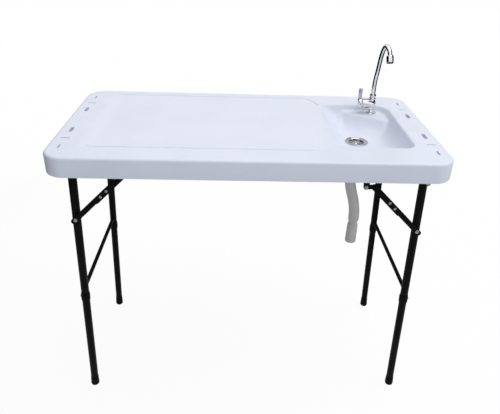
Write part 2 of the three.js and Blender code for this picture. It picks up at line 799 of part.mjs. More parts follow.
const spoutLine = spoutCurve();
const { flange: tapFlange, shank, spout, nut: spoutNut } = faucet;
const escutcheon = ring(shank.radius + gap, tapFlange.radius, gap, gap + tapFlange.height);
add(tap, "faucet_escutcheon", "chrome", escutcheon);
add(tap, "faucet_body", "chrome", faucetBody());
const nutRing = ring(spout.radius + gap, spoutNut.radius, spoutBase, spoutBase + spoutNut.height);
add(tap, "spout_nut", "chrome", nutRing);
const spoutTube = tubeAlong(spoutLine, spout.radius, spout.wall, mesh.spoutSides, mesh.spoutSteps);
add(tap, "spout", "chrome", spoutTube);
const aeratorPiece = add(tap, "spout_aerator", "chrome", aerator());
aeratorPiece.position.copy(spoutLine.getPoint(1));
aeratorPiece.quaternion.setFromUnitVectors(new THREE.Vector3(0, 0, 1), spoutLine.getTangent(1).negate());
add(tap, "faucet_lever", "chrome", lever()).position.z = faucet.branch.height;
const lockTop = deckUnder - ledgeHeight - gap;
const lockNut = hexNut(shank.radius + gap, faucet.lockNut.radius, lockTop - faucet.lockNut.height, lockTop);
add(tap, "faucet_lock_nut", "zinc", lockNut);

// Drain under the basin, with its hose

const waste = new THREE.Group();
waste.position.set(...drainPlace, floorHeight);
table.add(waste);

function strainer() {
  const { flange, tube, bar } = drain;
  const body = turned([
    [flange.throat, -tube.length],
    [tube.radius, -tube.length],
    [tube.radius, 0],
    [flange.radius, 0],
    [flange.radius, flange.thickness / 2],
    [flange.radius - flange.thickness, flange.thickness],
    [flange.bowl + flange.thickness, flange.thickness / 2],
    [flange.throat, -flange.thickness],
  ]);
  const middleWall = (flange.throat + tube.radius) / 2;
  const grid = [disc(bar.hub, -flange.bowlDepth, bar.height - flange.bowlDepth, mesh.boltSides)];
  for (const [halfX, halfY] of [[middleWall, bar.width / 2], [bar.width / 2, middleWall]]) {
    const rect = { left: -halfX, right: halfX, front: -halfY, back: halfY };
    grid.push(box(rect, -flange.bowlDepth, bar.height - flange.bowlDepth));
  }
  return grid.reduce((all, one) => all.add(one), body);
}

add(waste, "drain_strainer", "stainless", strainer());
const nutTop = -basin.dish - top.wall - gap;
const nutLow = nutTop - drain.nut.height;
add(waste, "drain_nut", "blackPlastic", ring(drain.tube.radius + gap, drain.nut.radius, nutLow, nutTop));
const bodyTop = nutLow - gap;
const bodyFoot = bodyTop - drain.body.height;
const neckFoot = bodyFoot - drain.body.neckHeight;
const cone = drain.body.radius - drain.body.neck;
const trap = turned([
  [drain.body.neck - drain.body.wall, neckFoot],
  [drain.body.neck, neckFoot],
  [drain.body.neck, bodyFoot],
  [drain.body.radius, bodyFoot + cone],
  [drain.body.radius, bodyTop],
  [drain.tube.radius + gap, bodyTop],
  [drain.tube.radius + gap, bodyFoot + cone],
  [drain.body.neck - drain.body.wall, bodyFoot],
]);
add(waste, "drain_tailpiece", "blackPlastic", trap);
const clampBore = drain.body.neck + gap;
const clampOuter = clampBore + drain.clamp.wall;
const clampLow = (neckFoot + bodyFoot - drain.clamp.height) / 2;
const clampScrew = moved(
  alongX(disc(drain.clamp.screw, -drain.clamp.screwReach / 2, drain.clamp.screwReach / 2, mesh.boltSides)),
  0,
  -clampOuter - drain.clamp.screw / 2,
  clampLow + drain.clamp.height / 2,
);
const clampBand = disc(clampOuter, clampLow, clampLow + drain.clamp.height)
  .add(clampScrew)
  .subtract(disc(clampBore, clampLow - overrun, clampLow + drain.clamp.height + overrun));
add(waste, "hose_clamp", "zinc", clampBand);

const hosePoints = hoseRoute.map(([swing, down]) => new THREE.Vector3(swing, 0, neckFoot - down));
const hoseLine = new THREE.CatmullRomCurve3(hosePoints);
const hoseTube = tubeAlong(hoseLine, hose.radius, hose.radius, mesh.hoseSides, mesh.hoseSteps);
add(waste, "drain_hose", "hosePlastic", hoseTube);

// The cuff on the hose's free end, with its top face at the origin.
function hoseCuff() {
  const { neck, neckLength, shoulder, shoulderLength, bottom, length, wall } = cuff;
  return turned([
    [neck - wall, 0],
    [bottom - wall, -length],
    [bottom, -length],
    [shoulder, -shoulderLength - neckLength],
    [neck, -neckLength],
    [neck, 0],
  ]);
}

const hoseEnd = hosePoints[hosePoints.length - 1];
add(waste, "hose_cuff", "hosePlastic", hoseCuff()).position.set(hoseEnd.x, hoseEnd.y, hoseEnd.z - gap);

export default table;
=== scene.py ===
import json
import math

import bmesh
import bpy
import numpy as np
from mathutils import Matrix, Vector


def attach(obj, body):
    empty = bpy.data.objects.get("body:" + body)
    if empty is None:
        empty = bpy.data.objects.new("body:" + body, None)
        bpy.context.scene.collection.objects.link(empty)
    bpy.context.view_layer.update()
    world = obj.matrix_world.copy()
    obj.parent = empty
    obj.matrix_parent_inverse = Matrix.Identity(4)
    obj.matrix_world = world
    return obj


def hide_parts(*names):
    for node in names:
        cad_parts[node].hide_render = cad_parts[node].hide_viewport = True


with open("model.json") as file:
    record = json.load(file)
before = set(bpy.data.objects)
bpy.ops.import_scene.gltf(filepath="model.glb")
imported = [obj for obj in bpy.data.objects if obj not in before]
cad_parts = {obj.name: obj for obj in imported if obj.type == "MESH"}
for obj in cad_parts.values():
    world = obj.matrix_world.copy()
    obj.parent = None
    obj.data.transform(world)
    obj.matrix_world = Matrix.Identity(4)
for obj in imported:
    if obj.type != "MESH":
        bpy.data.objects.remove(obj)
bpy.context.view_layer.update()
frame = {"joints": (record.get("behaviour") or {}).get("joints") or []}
joints = {joint["name"]: joint for joint in frame["joints"]}

MM = 0.001
GAP = 0.3
SIDES = {"left": -1, "right": 1}
ENDS = {"front": -1, "rear": 1}
QUARTER = math.pi / 2
SAME_PLACE = MM / 1000
HAIR = 0.02
OVERRUN = 5

# Camera, fitted to the top's outline, the slots and the feet in the photograph

CAMERA_PLACE = (-49.6, -1575.5, 1524.0)
CAMERA_TURNS = {"yaw": 0.048, "pitch": 0.517, "roll": -0.038}
PICTURE_WIDTH = 500
FOCAL_PIXELS = 516.6
AXIS_PIXEL = 254.7
SENSOR_WIDTH = 36


def add_camera():
    bpy.ops.object.camera_add()
    camera = bpy.context.object
    yaw, pitch, roll = CAMERA_TURNS.values()
    forward = Vector((math.sin(yaw) * math.cos(pitch), math.cos(yaw) * math.cos(pitch), -math.sin(pitch)))
    level = Vector((math.cos(yaw), -math.sin(yaw), 0))
    fall = forward.cross(level)
    right = math.cos(roll) * level + math.sin(roll) * fall
    down = math.cos(roll) * fall - math.sin(roll) * level
    turn = Matrix((right, -down, -forward)).transposed().to_4x4()
    camera.matrix_world = Matrix.Translation(Vector(CAMERA_PLACE) * MM) @ turn
    camera.data.sensor_width = SENSOR_WIDTH
    camera.data.lens = FOCAL_PIXELS / PICTURE_WIDTH * SENSOR_WIDTH
    camera.data.shift_x = (PICTURE_WIDTH / 2 - AXIS_PIXEL) / PICTURE_WIDTH
    bpy.context.scene.camera = camera


add_camera()

# Modelling helpers

ALONG_X = Matrix.Rotation(QUARTER, 4, "Y")
ALONG_Y = Matrix.Rotation(-QUARTER, 4, "X")
TURN_STEPS = 40
BAR_SIDES = 32


def at(x, y, z):
    return Matrix.Translation(Vector((x, y, z)) * MM)


def only(piece):
    bpy.ops.object.select_all(action="DESELECT")
    piece.select_set(True)
    bpy.context.view_layer.objects.active = piece


def edit(piece):
    only(piece)
    bpy.ops.object.mode_set(mode="EDIT")
    bpy.ops.mesh.select_mode(type="VERT")
    pick_all()


def leave():
    bpy.ops.object.mode_set(mode="OBJECT")


def pick_all():
    bpy.ops.mesh.select_all(action="SELECT")


def close_up():
    """Turns all faces of the piece in edit mode outwards and leaves edit mode."""
    pick_all()
    bpy.ops.mesh.normals_make_consistent(inside=False)
    leave()


def pull_up(height):
    bpy.ops.mesh.extrude_region_move(TRANSFORM_OT_translate={"value": (0, 0, height * MM)})


def pick(piece, kind, test):
    """Picks the vertices or edges that pass a test, in edit mode."""
    bpy.ops.mesh.select_mode(type={"verts": "VERT", "edges": "EDGE"}[kind])
    bpy.ops.mesh.select_all(action="DESELECT")
    shape = bmesh.from_edit_mesh(piece.data)
    for item in getattr(shape, kind):
        item.select_set(test(item))
    bmesh.update_edit_mesh(piece.data)


def settle(piece):
    """Puts a new primitive's place, turn and size into its mesh."""
    only(piece)
    bpy.ops.object.transform_apply(location=True, rotation=True, scale=True)


def newest(name):
    """The primitive just made, under its name and with its place and turn in its mesh."""
    piece = bpy.context.object
    piece.name = name
    settle(piece)
    return piece


def modify(piece, kind, **settings):
    modifier = piece.modifiers.new(kind.title(), kind)
    for key, value in settings.items():
        setattr(modifier, key, value)
    only(piece)
    bpy.ops.object.modifier_apply(modifier=modifier.name)


def soften(piece, width, segments=2, angle=32):
    limits = {"limit_method": "ANGLE", "angle_limit": math.radians(angle)}
    modify(piece, "BEVEL", width=width * MM, segments=segments, **limits)
    return piece


def combine(piece, tool, operation="UNION"):
    """Joins, cuts or meets a piece with a tool that is used up."""
    modify(piece, "BOOLEAN", operation=operation, object=tool, solver="MANIFOLD")
    bpy.data.objects.remove(tool)


def cut(piece, tool):
    combine(piece, tool, "DIFFERENCE")


def turned(name, profile, to, steps=TURN_STEPS, closed=False):
    """A turned shape about Z, drawn as points of radius and height and then spun."""
    points = [Vector((radius, 0, height)) * MM for radius, height in profile]
    if closed:
        points.append(points[0])
    bpy.ops.mesh.primitive_plane_add(size=MM, location=points[0])
    piece = newest(name)
    edit(piece)
    bpy.ops.mesh.merge(type="CENTER")
    for here, there in zip(points, points[1:]):
        bpy.ops.mesh.extrude_region_move(TRANSFORM_OT_translate={"value": there - here})
    pick_all()
    bpy.ops.mesh.remove_doubles(threshold=SAME_PLACE)
    bpy.ops.mesh.spin(steps=steps, angle=math.tau, center=(0, 0, 0), axis=(0, 0, 1))
    pick_all()
    bpy.ops.mesh.remove_doubles(threshold=2 * SAME_PLACE)
    close_up()
    piece.data.transform(to)
    return piece


def rod(name, radius, low, high, to, steps=TURN_STEPS, chamfer=0.6):
    """A round bar along Z with chamfered ends."""
    inner = radius - chamfer
    foot = [(0, low), (inner, low), (radius, low + chamfer)]
    head = [(radius, high - chamfer), (inner, high), (0, high)]
    return turned(name, foot + head, to, steps)


def pipe(name, inner, outer, low, high, to, steps=TURN_STEPS, chamfer=0.4):
    """A tube along Z with eased ends."""
    foot = [(inner, low), (outer - chamfer, low), (outer, low + chamfer)]
    head = [(outer, high - chamfer), (outer - chamfer, high), (inner, high)]
    return turned(name, foot + head, to, steps, closed=True)


def block(name, low, high, edge=0.0, segments=2):
    """A box between two corners with eased edges."""
    low, high = Vector(low), Vector(high)
    bpy.ops.mesh.primitive_cube_add(size=1, location=(low + high) / 2 * MM, scale=(high - low) * MM)
    piece = newest(name)
    return soften(piece, edge, segments) if edge else piece


def stadium(name, start, end, radius, low, high):
    """A flat bar with round ends between two X-Z places, filling a span of Y."""
    run = Vector((end[0] - start[0], 0, end[1] - start[1]))
    ahead = run.normalized()
    bpy.ops.mesh.primitive_circle_add(vertices=BAR_SIDES, radius=radius * MM, fill_type="NGON")
    piece = newest(name)
    edit(piece)
    pick(piece, "verts", lambda vertex: vertex.co.x > radius * MM / BAR_SIDES)
    bpy.ops.transform.translate(value=(run.length * MM, 0, 0))
    pick_all()
    pull_up(high - low)
    close_up()
    turn = Matrix((ahead, (ahead.z, 0, -ahead.x), (0, 1, 0))).transposed().to_4x4()
    piece.data.transform(at(start[0], low, start[1]) @ turn)
    return piece


def ring(radius, count):
    """Places round a circle."""
    angles = [math.tau * i / count for i in range(count)]
    return [(radius * math.cos(angle), radius * math.sin(angle)) for angle in angles]


def span(end, near, far):
    """The span of Y between two distances from the middle, on the front or the rear side."""
    return (near, far) if ENDS[end] > 0 else (-far, -near)


def outwards(end):
    """The turn that points Z outwards along Y, at the front or the rear."""
    return ALONG_Y if ENDS[end] > 0 else ALONG_Y.inverted()


def along_y(name, radius, place, reach, steps):
    """A round bar along Y at an X-Z place, filling a span of Y."""
    return rod(name, radius, *reach, at(place[0], 0, place[1]) @ ALONG_Y, steps)


# Materials

SHADE_STOPS = (0.35, 0.65)
GLOSS_SPAN = (0.3, 0.7)


def linear(code):
    """An sRGB hex colour as linear light."""
    shares = np.array([int(code[i:i + 2], 16) for i in (1, 3, 5)]) / 255
    return [*np.where(shares <= 0.04045, shares / 12.92, ((shares + 0.055) / 1.055) ** 2.4), 1]


def add_node(tree, kind, inputs=None, **settings):
    made = tree.nodes.new(kind)
    for key, value in settings.items():
        setattr(made, key, value)
    for key, value in (inputs or {}).items():
        if isinstance(value, bpy.types.NodeSocket):
            tree.links.new(value, made.inputs[key])
        else:
            made.inputs[key].default_value = value
    return made


def new_material(name):
    material = bpy.data.materials.new(name)
    material.use_nodes = True
    material.node_tree.nodes.clear()
    return material, material.node_tree


def grainy(name, shades, blotch, roughness, grain, relief, **shader):
    """A surface with clouds of two shades, blotch mm across, and a grain of so many mm, relief mm deep."""
    material, tree = new_material(name)
    place = add_node(tree, "ShaderNodeTexCoord").outputs["Object"]
    clouds = add_node(tree, "ShaderNodeTexNoise", {"Vector": place, "Scale": 1 / (blotch * MM), "Detail": 4})
    ramp = add_node(tree, "ShaderNodeValToRGB", {"Fac": clouds.outputs["Fac"]})
    for stop, position, shade in zip(ramp.color_ramp.elements, SHADE_STOPS, shades):
        stop.position = position
        stop.color = linear(shade)
    spans = dict(zip(("From Min", "From Max", "To Min", "To Max"), (*GLOSS_SPAN, *roughness)))
    gloss = add_node(tree, "ShaderNodeMapRange", {"Value": clouds.outputs["Fac"], **spans})
    pebbles = add_node(tree, "ShaderNodeTexNoise", {"Vector": place, "Scale": 1 / (grain * MM), "Detail": 3})
    depth = {"Distance": relief * MM, "Strength": 1}
    bump = add_node(tree, "ShaderNodeBump", {"Height": pebbles.outputs["Fac"], **depth})
    looks = {"Base Color": ramp.outputs["Color"], "Roughness": gloss.outputs["Result"]}
    looks["Normal"] = bump.outputs["Normal"]
    surface = add_node(tree, "ShaderNodeBsdfPrincipled", {**looks, **shader})
    add_node(tree, "ShaderNodeOutputMaterial", {"Surface": surface.outputs["BSDF"]})
    return material


DULL = {"Specular IOR Level": 0.05}


def moulded_polyethylene():
    """Blow-moulded HDPE: cool white and satin, with the faint orange peel of its mould."""
    return grainy("moulded_polyethylene", ("#E5EAF6", "#EAEEFA"), 160, (0.42, 0.52), 2.2, 0.05)


def powder_coat():
    """Powder-coated steel: near black and satin, with the fine orange peel of baked powder."""
    return grainy("black_powder_coat", ("#0B0B0C", "#101011"), 40, (0.4, 0.5), 1.4, 0.05, **DULL)


def moulded_nylon():
    """Moulded black nylon: darker and duller than the powder coat, with a spark-eroded grain."""
    return grainy("black_nylon", ("#09090A", "#0E0E0F"), 20, (0.5, 0.62), 0.9, 0.05, **DULL)


def polished_chrome():
    """Chrome plate on brass: a mirror with the faint waves that polishing leaves."""
    return grainy("polished_chrome", ("#E4E4E6", "#EEEEF0"), 12, (0.03, 0.07), 18, 0.03, Metallic=1)


def satin_chrome():
    """Satin chrome on the cast handle: pale grey, with blurred reflections."""
    return grainy("satin_chrome", ("#BDBEC8", "#C9CAD2"), 10, (0.3, 0.4), 1.2, 0.02, Metallic=1)


def pressed_stainless():
    """Pressed stainless steel: bright, a little grey, with the drawn streaks softened to a haze."""
    return grainy("pressed_stainless", ("#B9BBBF", "#D0D2D6"), 8, (0.2, 0.32), 2.5, 0.02, Metallic=1)


def bright_zinc():
    """Zinc-plated fasteners: bluish bright grey with cloudy plating."""
    return grainy("bright_zinc", ("#75787D", "#9A9DA2"), 5, (0.25, 0.4), 1.2, 0.03, Metallic=1)


def flexible_pvc():
    """Extruded soft PVC: light warm grey, satin, with the die's faint waves."""
    return grainy("flexible_pvc", ("#C3C1BC", "#CDCBC8"), 30, (0.42, 0.55), 4.0, 0.08)


MATERIALS = {
    "table_plastic": moulded_polyethylene(),
    "black_powder_coat": powder_coat(),
    "black_plastic": moulded_nylon(),
    "polished_chrome": polished_chrome(),
    "drain_stainless": pressed_stainless(),
    "bright_zinc": bright_zinc(),
    "hose_grey": flexible_pvc(),
}


def dress(piece, slot, body, *nodes, smooth=38, material=None):
    """Gives a finished piece its material and its body, and hides the CAD parts of the nodes that it stands
    for.
    """
    only(piece)
    bpy.ops.object.shade_smooth_by_angle(angle=math.radians(smooth))
    piece.data.materials.clear()
    piece.data.materials.append(material or MATERIALS[slot])
    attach(piece, body)
    if nodes:
        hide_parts(*nodes)


def fastener(name, profile, to, steps, body, *nodes):
    dress(turned(name, profile, to, steps), "bright_zinc", body, *nodes)


def coated(piece, body, node):
    dress(piece, "black_powder_coat", body, node)


def chromed(piece, body, *nodes, smooth=50, material=None):
    dress(piece, "polished_chrome", body, *nodes, smooth=smooth, material=material)


# Drain hose, a free hose that hangs from the trap's neck to its cuff

HOSE_RADIUS = 19
HOSE_ROUTE = [
    (355, 8, 810.6), (355, 8, 803), (355, 8, 795), (352, 8, 765), (352, 8, 735), (361, 8, 695),
    (372, 8, 660), (380, 8, 625), (383, 8, 595), (383, 8, 572),
]
HOSE_STEPS = 4
HOSE_SIDES = 32
HOSE_BULGE = {"height": 0.5, "place": 0.9, "spread": 0.05}
HOSE_TUCK = {"depth": 2.6, "top": 0.02, "foot": 0.035}
CUFF_PLACE = (383, 8, 571.7)
CUFF_PROFILE = [
    (13.1, 0), (15.2, 0), (15.5, -0.5), (15.5, -5), (16.2, -8), (17.6, -12), (18.5, -17), (18.8, -30),
    (19.1, -31.2), (19.1, -34), (18.8, -35.2), (19.2, -52), (19.5, -53.2), (19.5, -56), (19.2, -57.2),
    (19.5, -70), (19.7, -80), (19.2, -83.6), (18.2, -85), (17.2, -84.6), (16.9, -80), (16.2, -40),
    (15.4, -16), (13.1, -8),
]


def curve_points(route, steps):
    """Points along a smooth curve through a route."""
    padded = [2 * route[0] - route[1], *route, 2 * route[-1] - route[-2]]
    points = []
    for a, b, c, d in zip(padded, padded[1:], padded[2:], padded[3:]):
        for step in range(steps):
            t = step / steps
            bend = (2 * a - 5 * b + 4 * c - d) * t * t + (3 * b - a - 3 * c + d) * t ** 3
            points.append((2 * b + (c - a) * t + bend) / 2)
    return points + [route[-1]]


def swept(name, points, radii, sides, side_axis):
    """A round solid along points in a plane, whose normal is side_axis, with a radius at each point."""
    shape = bmesh.new()
    rings = []
    for i, (point, radius) in enumerate(zip(points, radii)):
        ahead = (points[min(i + 1, len(points) - 1)] - points[max(i - 1, 0)]).normalized()
        across = ahead.cross(side_axis).normalized()
        corners = [point + across * u + side_axis * v for u, v in ring(radius, sides)]
        rings.append([shape.verts.new(corner) for corner in corners])
    for here, there in zip(rings, rings[1:]):
        for j in range(sides):
            shape.faces.new((here[j], here[j - 1], there[j - 1], there[j]))
    shape.faces.new(rings[0])
    shape.faces.new(rings[-1])
    bmesh.ops.recalc_face_normals(shape, faces=shape.faces)
    mesh = bpy.data.meshes.new(name)
    shape.to_mesh(mesh)
    piece = bpy.data.objects.new(name, mesh)
    bpy.context.collection.objects.link(piece)
    return piece


def drain_hose():
    points = curve_points([Vector(point) * MM for point in HOSE_ROUTE], HOSE_STEPS)
    radii = []
    for share in np.linspace(0, 1, len(points)):
        off = (share - HOSE_BULGE["place"]) / HOSE_BULGE["spread"]
        swell = HOSE_BULGE["height"] * (math.exp(-off * off) - 1)
        tucks = max(0, 1 - share / HOSE_TUCK["top"]) ** 2 + max(0, 1 - (1 - share) / HOSE_TUCK["foot"]) ** 2
        radii.append((HOSE_RADIUS + swell - HOSE_TUCK["depth"] * tucks) * MM)
    hose = swept("flexible_drain_hose", points, radii, HOSE_SIDES, Vector((0, 1, 0)))
    dress(hose, "hose_grey", "table_top", "drain_hose")
    cuff = turned("hose_end_cuff", CUFF_PROFILE, at(*CUFF_PLACE), closed=True)
    dress(cuff, "hose_grey", "table_top", "hose_cuff", smooth=50)


drain_hose()

# Plastic top: its upper and under sides are two height fields, so that basin, ledge and panel melt together

TOP = {"x": 575, "y": 300, "height": 940, "skirt": 61, "corner": 60, "edge": 8, "hem": 3}
CORNER_STEPS = 14
EDGE_STEPS = 6
HEM_STEPS = 3
DECK_UNDER = 918
RECESS = (528, 276)
BASIN_RIM = (247, 488, -186, 196)
BASIN_FOOT = (318, 396, -128, 158)
BASIN_RIM_RADII = (50, 30, 40, 32)
BASIN_FOOT_RADII = (48, 64, 36, 40)
BASIN_DEPTH = 62
BASIN_DISH = {"depth": 2, "reach": 120}
BASIN_CURVES = (1.25, 4)
BASIN_CURVE_SPAN = (290, 430)
SHARE_SPAN = (-0.2, 1.0)
SHARE_STEPS = 13
LEDGE_HEIGHT = 922
LEDGE_LINE = [(334, 178), (352, 158), (388, 133), (426, 113), (458, 94), (492, 82)]
LEDGE = {"fall": 46, "run": 88, "curve": 2.5, "tip": 0.7}
LEDGE_BLEND = {"reach": 8, "floor": 884, "fade": 12}
PANEL = {"left": -493, "right": 380, "front": -222, "back": 262, "depth": 3, "step": 2.4, "ramp": 52}
GUTTER = {"depth": 3.2, "in": 14.6, "width": 9, "wall": 0.6, "fade": 30, "end": 205}
PANEL_FRONT = [(168, -222), (229.5, -222), (229.5, -186), (255, -178)]
PANEL_BACK = [(189, 262), (237, 262), (237, 196), (255, 188)]
BEZIER_STEPS = 60
ROUNDING_RINGS = ((2, 6), (4, 12))
PANEL_ROUNDING = 0.16
WALL = 3.4
WALL_STEPS = 8
DRAIN_PLACE = (355, 8)
DRAIN_CUT = (24.3, 860, 900)
FAUCET_PLACE = (432, 170)
FAUCET_CUT = (7.8, 900, 935)
SLOT_X = 540
SLOTS = {"edge_slit": (0, 14, 2.5, 219), "cross_slit": (14, 0, 2.5, 158), "tool_slot": (0, 19, 5.5, 91)}
SLOT_FLARE = 0.7
SLOT_SIDES = 24
DIMPLE = {"pitch": 62, "radius": 15, "depth": 9, "flat": 1.6}
DIMPLE_ROW = 0.866 * DIMPLE["pitch"]
DIMPLE_ROOM = {"left": -505, "right": 205, "ends": 236}
HULL_ROOM = ((222, -214, 868), (514, 224, 935))
FIELD_DEPTH = 90
UPPER_LINES_X = [
    (-582, -504, 19), (-504, -430, 5), (-430, 158, 16), (158, 250, 1.8), (250, 504, 2.4), (504, 582, 19),
]
UPPER_LINES_Y = [
    (-306, -226, 10), (-226, -210, 2), (-210, -204, 0.5), (-204, -96, 2.4), (-96, 60, 4.5),
    (60, 186, 2.4), (186, 258, 1.8), (258, 264, 0.75), (264, 306, 11),
]
UNDER_LINES_X = [(-RECESS[0], 214, 6.2), (214, RECESS[0], 3.4)]
UNDER_LINES_Y = [(-RECESS[1], RECESS[1], 4.8)]


def smooth_share(value):
    value = np.clip(value, 0, 1)
    return value * value * (3 - 2 * value)


def rect_reach(x, y, rect, radii):
    """Signed distance to a rectangle with round corners: back right, back left, front left, front right."""
    left, right, front, back = rect
    east, north = x > (left + right) / 2, y > (front + back) / 2
    radius = np.where(north, np.where(east, radii[0], radii[1]), np.where(east, radii[3], radii[2]))
    over_x = np.abs(x - (left + right) / 2) - (right - left) / 2 + radius
    over_y = np.abs(y - (front + back) / 2) - (back - front) / 2 + radius
    outside = np.hypot(np.maximum(over_x, 0), np.maximum(over_y, 0))
    return outside + np.minimum(np.maximum(over_x, over_y), 0) - radius


def basin_share(x, y):
    """How far in a place is from the basin's rim, at 0, to the foot of its walls, at 1."""
    low, high = (np.full(x.shape, limit) for limit in SHARE_SPAN)
    for _ in range(SHARE_STEPS):
        share = (low + high) / 2
        rect = [a + (b - a) * share for a, b in zip(BASIN_RIM, BASIN_FOOT)]
        radii = [a + (b - a) * share for a, b in zip(BASIN_RIM_RADII, BASIN_FOOT_RADII)]
        inside = rect_reach(x, y, rect, radii) < 0
        low, high = np.where(inside, share, low), np.where(inside, high, share)
    return (low + high) / 2


def bowl_height(x, y):
    """The basin's walls and floor with the faucet's ledge, not yet rounded."""
    share = basin_share(x, y)
    (low, high), (first, last) = BASIN_CURVES, BASIN_CURVE_SPAN
    curve = low + (high - low) * smooth_share((x - first) / (last - first))
    fall = np.where(share > 0, 1 - (1 - np.maximum(share, 0)) ** curve, share * curve)
    from_drain = np.hypot(x - DRAIN_PLACE[0], y - DRAIN_PLACE[1])
    dish = BASIN_DISH["depth"] * np.clip(1 - from_drain / BASIN_DISH["reach"], 0, 1)
    walls = TOP["height"] - BASIN_DEPTH * fall - dish
    line_x, line_y = np.array(LEDGE_LINE, dtype=float).T
    run = np.hypot(line_x[-1] - line_x[0], line_y[-1] - line_y[0])
    ahead_y = (line_x[-1] - line_x[0]) / run
    front, left = (np.interp(x, line_x, line_y) - y) * ahead_y, (line_x[0] - x) * LEDGE["tip"]
    before = np.clip(np.hypot(np.maximum(front, 0), np.maximum(left, 0)) / LEDGE["run"], 0, 1)
    ledge = LEDGE_HEIGHT - LEDGE["fall"] * (1 - (1 - before) ** LEDGE["curve"])
    reach = LEDGE_BLEND["reach"]
    near = np.maximum(reach - np.abs(walls - ledge), 0) / reach
    blend = near * near * reach / 4 * smooth_share((ledge - LEDGE_BLEND["floor"]) / LEDGE_BLEND["fade"])
    return np.maximum(walls, ledge) + blend


def bezier_line(corners):
    """The X and Y of a curve with four control points."""
    t = np.linspace(0, 1, BEZIER_STEPS)[:, None]
    a, b, c, d = (np.array(corner, dtype=float) for corner in corners)
    return ((1 - t) ** 3 * a + 3 * (1 - t) ** 2 * t * b + 3 * (1 - t) * t * t * c + t ** 3 * d).T


def panel_drop(x, y):
    """The drop from the top to the working panel, with the gutter along its front."""
    reach = np.minimum(y - PANEL["front"], PANEL["back"] - y)
    for corners, way in ((PANEL_FRONT, 1), (PANEL_BACK, -1)):
        line_x, line_y = bezier_line(corners)
        slope = np.gradient(line_y, line_x)
        edge = np.interp(x, line_x, line_y)
        tilt = np.interp(x, line_x, slope, left=0, right=0)
        reach = np.minimum(reach, way * (y - edge) / np.sqrt(1 + tilt * tilt))
    ramp, fade = PANEL["ramp"], GUTTER["fade"]
    sides = smooth_share((x - PANEL["left"]) / ramp) * smooth_share((PANEL["right"] - x) / ramp)
    panel = PANEL["depth"] * smooth_share(reach / PANEL["step"]) * sides
    past = reach - GUTTER["in"]
    gutter = np.minimum(np.clip(1 + past / GUTTER["width"], 0, 1), np.clip(1 - past / GUTTER["wall"], 0, 1))
    ends = smooth_share((x - PANEL["left"]) / fade) * smooth_share((GUTTER["end"] - x) / fade)
    return panel + GUTTER["depth"] * gutter * ends * (y < 0)


def top_height(x, y):
    """The upper side, with every edge rounded by averaging the sharp form over a small disc."""
    total = np.zeros(x.shape)
    places = [(0, 0), *(place for sizes in ROUNDING_RINGS for place in ring(*sizes))]
    for shift_x, shift_y in places:
        panel = TOP["height"] - panel_drop(x + shift_x * PANEL_ROUNDING, y + shift_y * PANEL_ROUNDING)
        total += np.minimum(panel, bowl_height(x + shift_x, y + shift_y))
    return total / len(places)


def under_height(x, y):
    """The under side: the flat deck with its kiss-off dimples, and the basin's hull below it."""
    hull = np.full(x.shape, np.inf)
    for shift_x, shift_y in ring(WALL, WALL_STEPS):
        hull = np.minimum(hull, bowl_height(x + shift_x, y + shift_y))
    pitch, radius = DIMPLE["pitch"], DIMPLE["radius"]
    row = np.round(y / DIMPLE_ROW)
    across = x - pitch / 2 * (row % 2)
    off = np.hypot(across - pitch * np.round(across / pitch), y - row * DIMPLE_ROW)
    room = (x < DIMPLE_ROOM["right"]) & (x > DIMPLE_ROOM["left"])
    room &= np.abs(row * DIMPLE_ROW) < DIMPLE_ROOM["ends"]
    dimple = DIMPLE["depth"] * smooth_share((radius - off) / radius * DIMPLE["flat"]) * room
    return np.minimum(DECK_UNDER + dimple, hull - WALL)


def spaced(stretches):
    """Line places from stretches of start, stop and step."""
    places = [np.linspace(a, b, max(1, round((b - a) / step)), endpoint=False) for a, b, step in stretches]
    return np.concatenate([*places, [stretches[-1][1]]])


def field(name, stretches_x, stretches_y, height):
    """A grid on such lines, raised to a height at each crossing and extruded down into a closed block."""
    lines_x, lines_y = spaced(stretches_x), spaced(stretches_y)
    across, along = len(lines_x) - 1, len(lines_y) - 1
    bpy.ops.mesh.primitive_grid_add(x_subdivisions=across, y_subdivisions=along, size=2)
    piece = newest(name)
    corners = np.empty(len(piece.data.vertices) * 3)
    piece.data.vertices.foreach_get("co", corners)
    column, row = (corners.reshape(-1, 3)[:, :2].T + 1) / 2
    x = lines_x[np.rint(column * across).astype(int)]
    y = lines_y[np.rint(row * along).astype(int)]
    placed = np.stack([x, y, height(x, y)], axis=1) * MM
    piece.data.vertices.foreach_set("co", placed.ravel())
    piece.data.update()
    edit(piece)
    pull_up(-FIELD_DEPTH)
    close_up()
    return piece


def slab():
    """The outer block, a hair too high, with its round corners, rounded top edge and hem."""
    low, high = TOP["height"] - TOP["skirt"], TOP["height"]
    piece = block("moulded_top", (-TOP["x"], -TOP["y"], low), (TOP["x"], TOP["y"], high + HAIR))
    edit(piece)
    pick(piece, "edges", lambda edge: abs(edge.verts[0].co.z - edge.verts[1].co.z) > MM)
    bpy.ops.mesh.bevel(offset=TOP["corner"] * MM, segments=CORNER_STEPS, affect="EDGES")
    for level, width, segments in ((high, TOP["edge"], EDGE_STEPS), (low, TOP["hem"], HEM_STEPS)):
        near = level * MM
        pick(piece, "edges", lambda edge: all(abs(vertex.co.z - near) < MM / 10 for vertex in edge.verts))
        bpy.ops.mesh.bevel(offset=width * MM, segments=segments, affect="EDGES")
    leave()
    return piece


